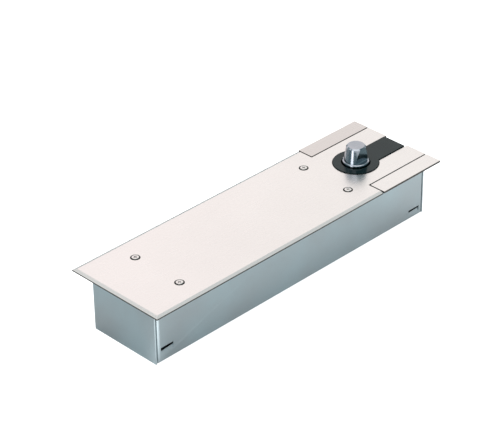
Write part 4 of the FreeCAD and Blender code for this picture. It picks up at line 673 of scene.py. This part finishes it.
# %% All finishes
EVEN = (900.0, 900.0, 900.0)
finishes = {
    "satin_stainless": finish("satin_stainless", (0.93, 0.90, 0.88), (0.90, 0.87, 0.85), 9.0, 1.0,
                              (0.25, 0.32), (30.0, 3000.0, 3000.0), 0.04),
    "black_plastic": finish("black_plastic", (0.008, 0.022, 0.024), (0.005, 0.016, 0.018), 60.0, 0.0,
                            (0.15, 0.22), (2600.0, 2600.0, 2600.0), 0.08),
    "zinc_sheet": finish("zinc_sheet", (0.39, 0.475, 0.505), (0.37, 0.415, 0.435), 16.0, 1.0,
                         (0.28, 0.38), EVEN, 0.05),
    "cover_screw_steel": finish("cover_screw_steel", (0.86, 0.84, 0.82), (0.76, 0.74, 0.72), 200.0, 1.0,
                                (0.10, 0.16), EVEN, 0.04),
    "plated_forging": finish("plated_forging", (0.50, 0.51, 0.56), (0.42, 0.45, 0.50), 90.0, 1.0,
                             (0.12, 0.2), (60.0, 60.0, 5000.0), 0.03),
    "cast_housing": finish("cast_housing", (0.070, 0.074, 0.080), (0.045, 0.048, 0.052), 80.0, 0.6,
                           (0.55, 0.75), (1200.0, 1200.0, 1200.0), 0.7),
    "plain_steel": finish("plain_steel", (0.42, 0.42, 0.43), (0.34, 0.34, 0.36), 60.0, 1.0,
                          (0.22, 0.36), EVEN, 0.08),
    "plated_fasteners": finish("plated_fasteners", (0.50, 0.53, 0.56), (0.40, 0.44, 0.48), 120.0, 1.0,
                               (0.2, 0.34), EVEN, 0.05),
    "bearing_steel": finish("bearing_steel", (0.60, 0.61, 0.63), (0.52, 0.53, 0.56), 90.0, 1.0,
                            (0.08, 0.16), EVEN, 0.02),
    "cage_brass": finish("cage_brass", (0.62, 0.43, 0.16), (0.50, 0.33, 0.11), 90.0, 1.0,
                         (0.2, 0.34), EVEN, 0.05),
    "spring_steel": finish("spring_steel", (0.085, 0.09, 0.10), (0.05, 0.055, 0.065), 120.0, 0.8,
                           (0.35, 0.5), EVEN, 0.1),
    "seal_rubber": finish("seal_rubber", (0.022, 0.022, 0.022), (0.015, 0.015, 0.015), 90.0, 0.0,
                          (0.4, 0.55), EVEN, 0.12),
}
print(len(finishes), "finishes")

# %% What the black plastic and the stainless sheet have besides
SOFT_SPECULAR = 0.28
TOP_FROM = -1.2 * MM
TONE_START = ((STRIP_FAR - 0.4) * MM, (STRIP_INNER - 0.4) * MM, 0)
plastic = finishes["black_plastic"].node_tree.nodes["Principled BSDF"]
plastic.inputs["Specular IOR Level"].default_value = SOFT_SPECULAR
sheet = finishes["satin_stainless"].node_tree
base = sheet.nodes["Principled BSDF"].inputs["Base Color"]
brushed = base.links[0].from_socket
toned = place_group(sheet, tone, Start=TONE_START, Bright=brushed, Toned=(0.76, 0.72, 0.70, 1))
# Painted shade on the plate and strips: near-black on their cut faces and on all below 1.2 mm, for the
# shadow line under the edges and in the seams.
edge_shaded = place_group(sheet, cut_face_shade, Level=TOP_FROM, Bright=toned["Color"], Dull=(0.07, 0.065, 0.06, 1))
join(sheet, edge_shaded["Color"], base)
print("plastic, plate and strips have their own touches")

# %% Finishes onto solids and new pieces
slot_of = {entry["node"]: entry["material_slot"] for entry in frame["record"]["subparts"]}
for name, node in frame["nodes"].items():
    node.data.materials.clear()
    node.data.materials.append(finishes[slot_of[name]])
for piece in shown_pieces():
    if "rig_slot" in piece:
        piece.data.materials.clear()
        piece.data.materials.append(finishes[piece["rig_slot"]])
print(len(slot_of), "solids have their finish")

# %% [markdown]
# ## Floor and light
#
# The picture has a plain white ground. The floor is a pale sheet that is lifted to white for the camera
# alone, so it doesn't throw more light on the object. The walls of the box mirror the floor, and an even
# white would make them flat. So mirror rays see it dim, with two brighter patches: one beside the long
# wall, which fades towards the box, and a round one off the corner of the far end.
# The room is dim and slightly teal, which is what gives the turned spindle its dark sides. Soft lights
# stand in it: a broad one behind that the whole cover mirrors, a large round one overhead, two small round
# ones and a weak fill. A tall strip light on the left draws the bright line down the cone.

# %% Floor
FLOOR_HALF = 0.9
ground = bmesh.new()
bmesh.ops.create_grid(ground, x_segments=1, y_segments=1, size=FLOOR_HALF)
bmesh.ops.translate(ground, vec=(0, 0, BOX_FLOOR * MM), verts=ground.verts)
floor = raw_shape("studio_floor", ground)
paper = bpy.data.materials.new("studio_paper")
paper.use_nodes = True
skin = paper.node_tree.nodes["Principled BSDF"].inputs
skin["Base Color"].default_value = (0.86, 0.86, 0.86, 1)
skin["Roughness"].default_value = 0.9
skin["Specular IOR Level"].default_value = 0.0
skin["Emission Color"].default_value = (1, 1, 1, 1)
floor.data.materials.append(paper)
print("floor at", BOX_FLOOR, "mm")

# %% Patches that mirror rays see, and white for the camera
CAMERA_LIFT = 0.95
SIDE_INNER, SIDE_FULL, SIDE_LIGHT = 0.03, -0.09, 0.32
SIDE_GONE, SIDE_OUTER = -0.18, -0.13
ALONG_FAR, ALONG_NEAR, FAR_SHARE, NEAR_SHARE = -0.3, 0.1, 0.8, 1.35
CORNER_PLACE = (-0.387, -0.126, 0)
CORNER_GONE, CORNER_FULL, FLOOR_DIM, CORNER_LIGHT = 0.14, 0.085, 0.15, 1.75
tree = paper.node_tree
place = tree.nodes.new("ShaderNodeTexCoord").outputs["Object"]
rays = tree.nodes.new("ShaderNodeLightPath").outputs
parts = split(tree, place)
beside = ramp(tree, parts["Y"], SIDE_INNER, SIDE_FULL, 0.0, SIDE_LIGHT)
beyond = ramp(tree, parts["Y"], SIDE_GONE, SIDE_OUTER)
onward = ramp(tree, parts["X"], ALONG_FAR, ALONG_NEAR, FAR_SHARE, NEAR_SHARE)
side_patch = numbers(tree, "MULTIPLY", numbers(tree, "MULTIPLY", beside, beyond), onward)
distance = vectors(tree, "DISTANCE", vectors(tree, "MULTIPLY", place, (1, 1, 0)), CORNER_PLACE)
corner_patch = ramp(tree, distance, CORNER_GONE, CORNER_FULL, FLOOR_DIM, CORNER_LIGHT)
patches = numbers(tree, "ADD", side_patch, corner_patch)
mirrored = numbers(tree, "MULTIPLY", rays["Is Glossy Ray"], patches)
join(tree, numbers(tree, "MULTIPLY_ADD", rays["Is Camera Ray"], CAMERA_LIFT, mirrored),
     skin["Emission Strength"])
print("patches beside the box and off its corner")

# %% Room helpers
world = bpy.data.worlds.new("light_tent")
bpy.context.scene.world = world
world.use_nodes = True
room = world.node_tree
view = room.nodes.new("ShaderNodeTexCoord").outputs["Generated"]


def heading(azimuth, height=0.0):
    """The direction of a bearing and a height in degrees."""
    level = math.cos(math.radians(height))
    return (level * math.cos(math.radians(azimuth)), level * math.sin(math.radians(azimuth)),
            math.sin(math.radians(height)))


def bearing_to(azimuth):
    """How closely a ray's bearing on the compass agrees with an azimuth: 1 when they are equal."""
    unit = vectors(room, "NORMALIZE", vectors(room, "MULTIPLY", view, (1, 1, 0)))
    return vectors(room, "DOT_PRODUCT", unit, heading(azimuth))


def soft(source, low, high, start=0.0, end=1.0):
    """A soft step between two values."""
    return ramp(room, source, low, high, start, end, "SMOOTHSTEP")


def times(first, second):
    """The product of two masks."""
    return numbers(room, "MULTIPLY", first, second)


def over(below, mask, colour):
    """Lays a light's colour over what is below it."""
    return blend(room, mask, below, (*colour, 1))


# %% Round lights: bearing, height, full within, gone beyond, colour
LIGHTS = [
    (222, 78, 30, 37, (1.35, 1.39, 1.39)),
    (131, 40, 10, 22, (0.9, 0.95, 0.97)),
    (318, 60, 8, 15, (0.9, 0.95, 0.97)),
]
glow = (0.05, 0.135, 0.16, 1)
for azimuth, height, full, gone, colour in LIGHTS:
    towards = vectors(room, "DOT_PRODUCT", view, heading(azimuth, height))
    fade = soft(towards, math.cos(math.radians(gone)), math.cos(math.radians(full)))
    glow = over(glow, fade, colour)
print(len(LIGHTS), "round lights")

# %% Fill, broad light behind, and the tall strip on the left
CAMERA_SIDE, BEHIND, BEHIND_PLATE, STRIP_SIDE = 222, 50, 62, 187.5
FILL, BROAD, BROADEST, STRIP = (0.22, 0.32, 0.34), (0.98, 0.965, 0.95), (1.06, 0.99, 0.99), (3.0, 3.15, 3.3)
rise = split(room, view)["Z"]
band = times(soft(rise, 0.08, 0.25), soft(rise, 0.85, 0.95, 1.0, 0.0))
glow = over(glow, times(band, soft(bearing_to(CAMERA_SIDE), -0.35, 0.2, 1.0, 0.0)), FILL)
band = times(soft(rise, 0.05, 0.22), soft(rise, 0.62, 0.78, 1.0, 0.55))
glow = over(glow, times(band, soft(bearing_to(BEHIND), 0.42, 0.71)), BROAD)
glow = over(glow, times(band, soft(bearing_to(BEHIND_PLATE), 0.93, 0.985)), BROADEST)
band = times(soft(rise, 0.0, 0.04), soft(rise, 0.45, 0.6, 1.0, 0.0))
glow = over(glow, times(band, soft(bearing_to(STRIP_SIDE), 0.978, 0.995)), STRIP)
rays = room.nodes.new("ShaderNodeLightPath").outputs
sky = room.nodes["Background"].inputs
join(room, over(glow, rays["Is Camera Ray"], (1, 1, 1)), sky["Color"])
sky["Strength"].default_value = 1.0
print(world.name, "is lit")
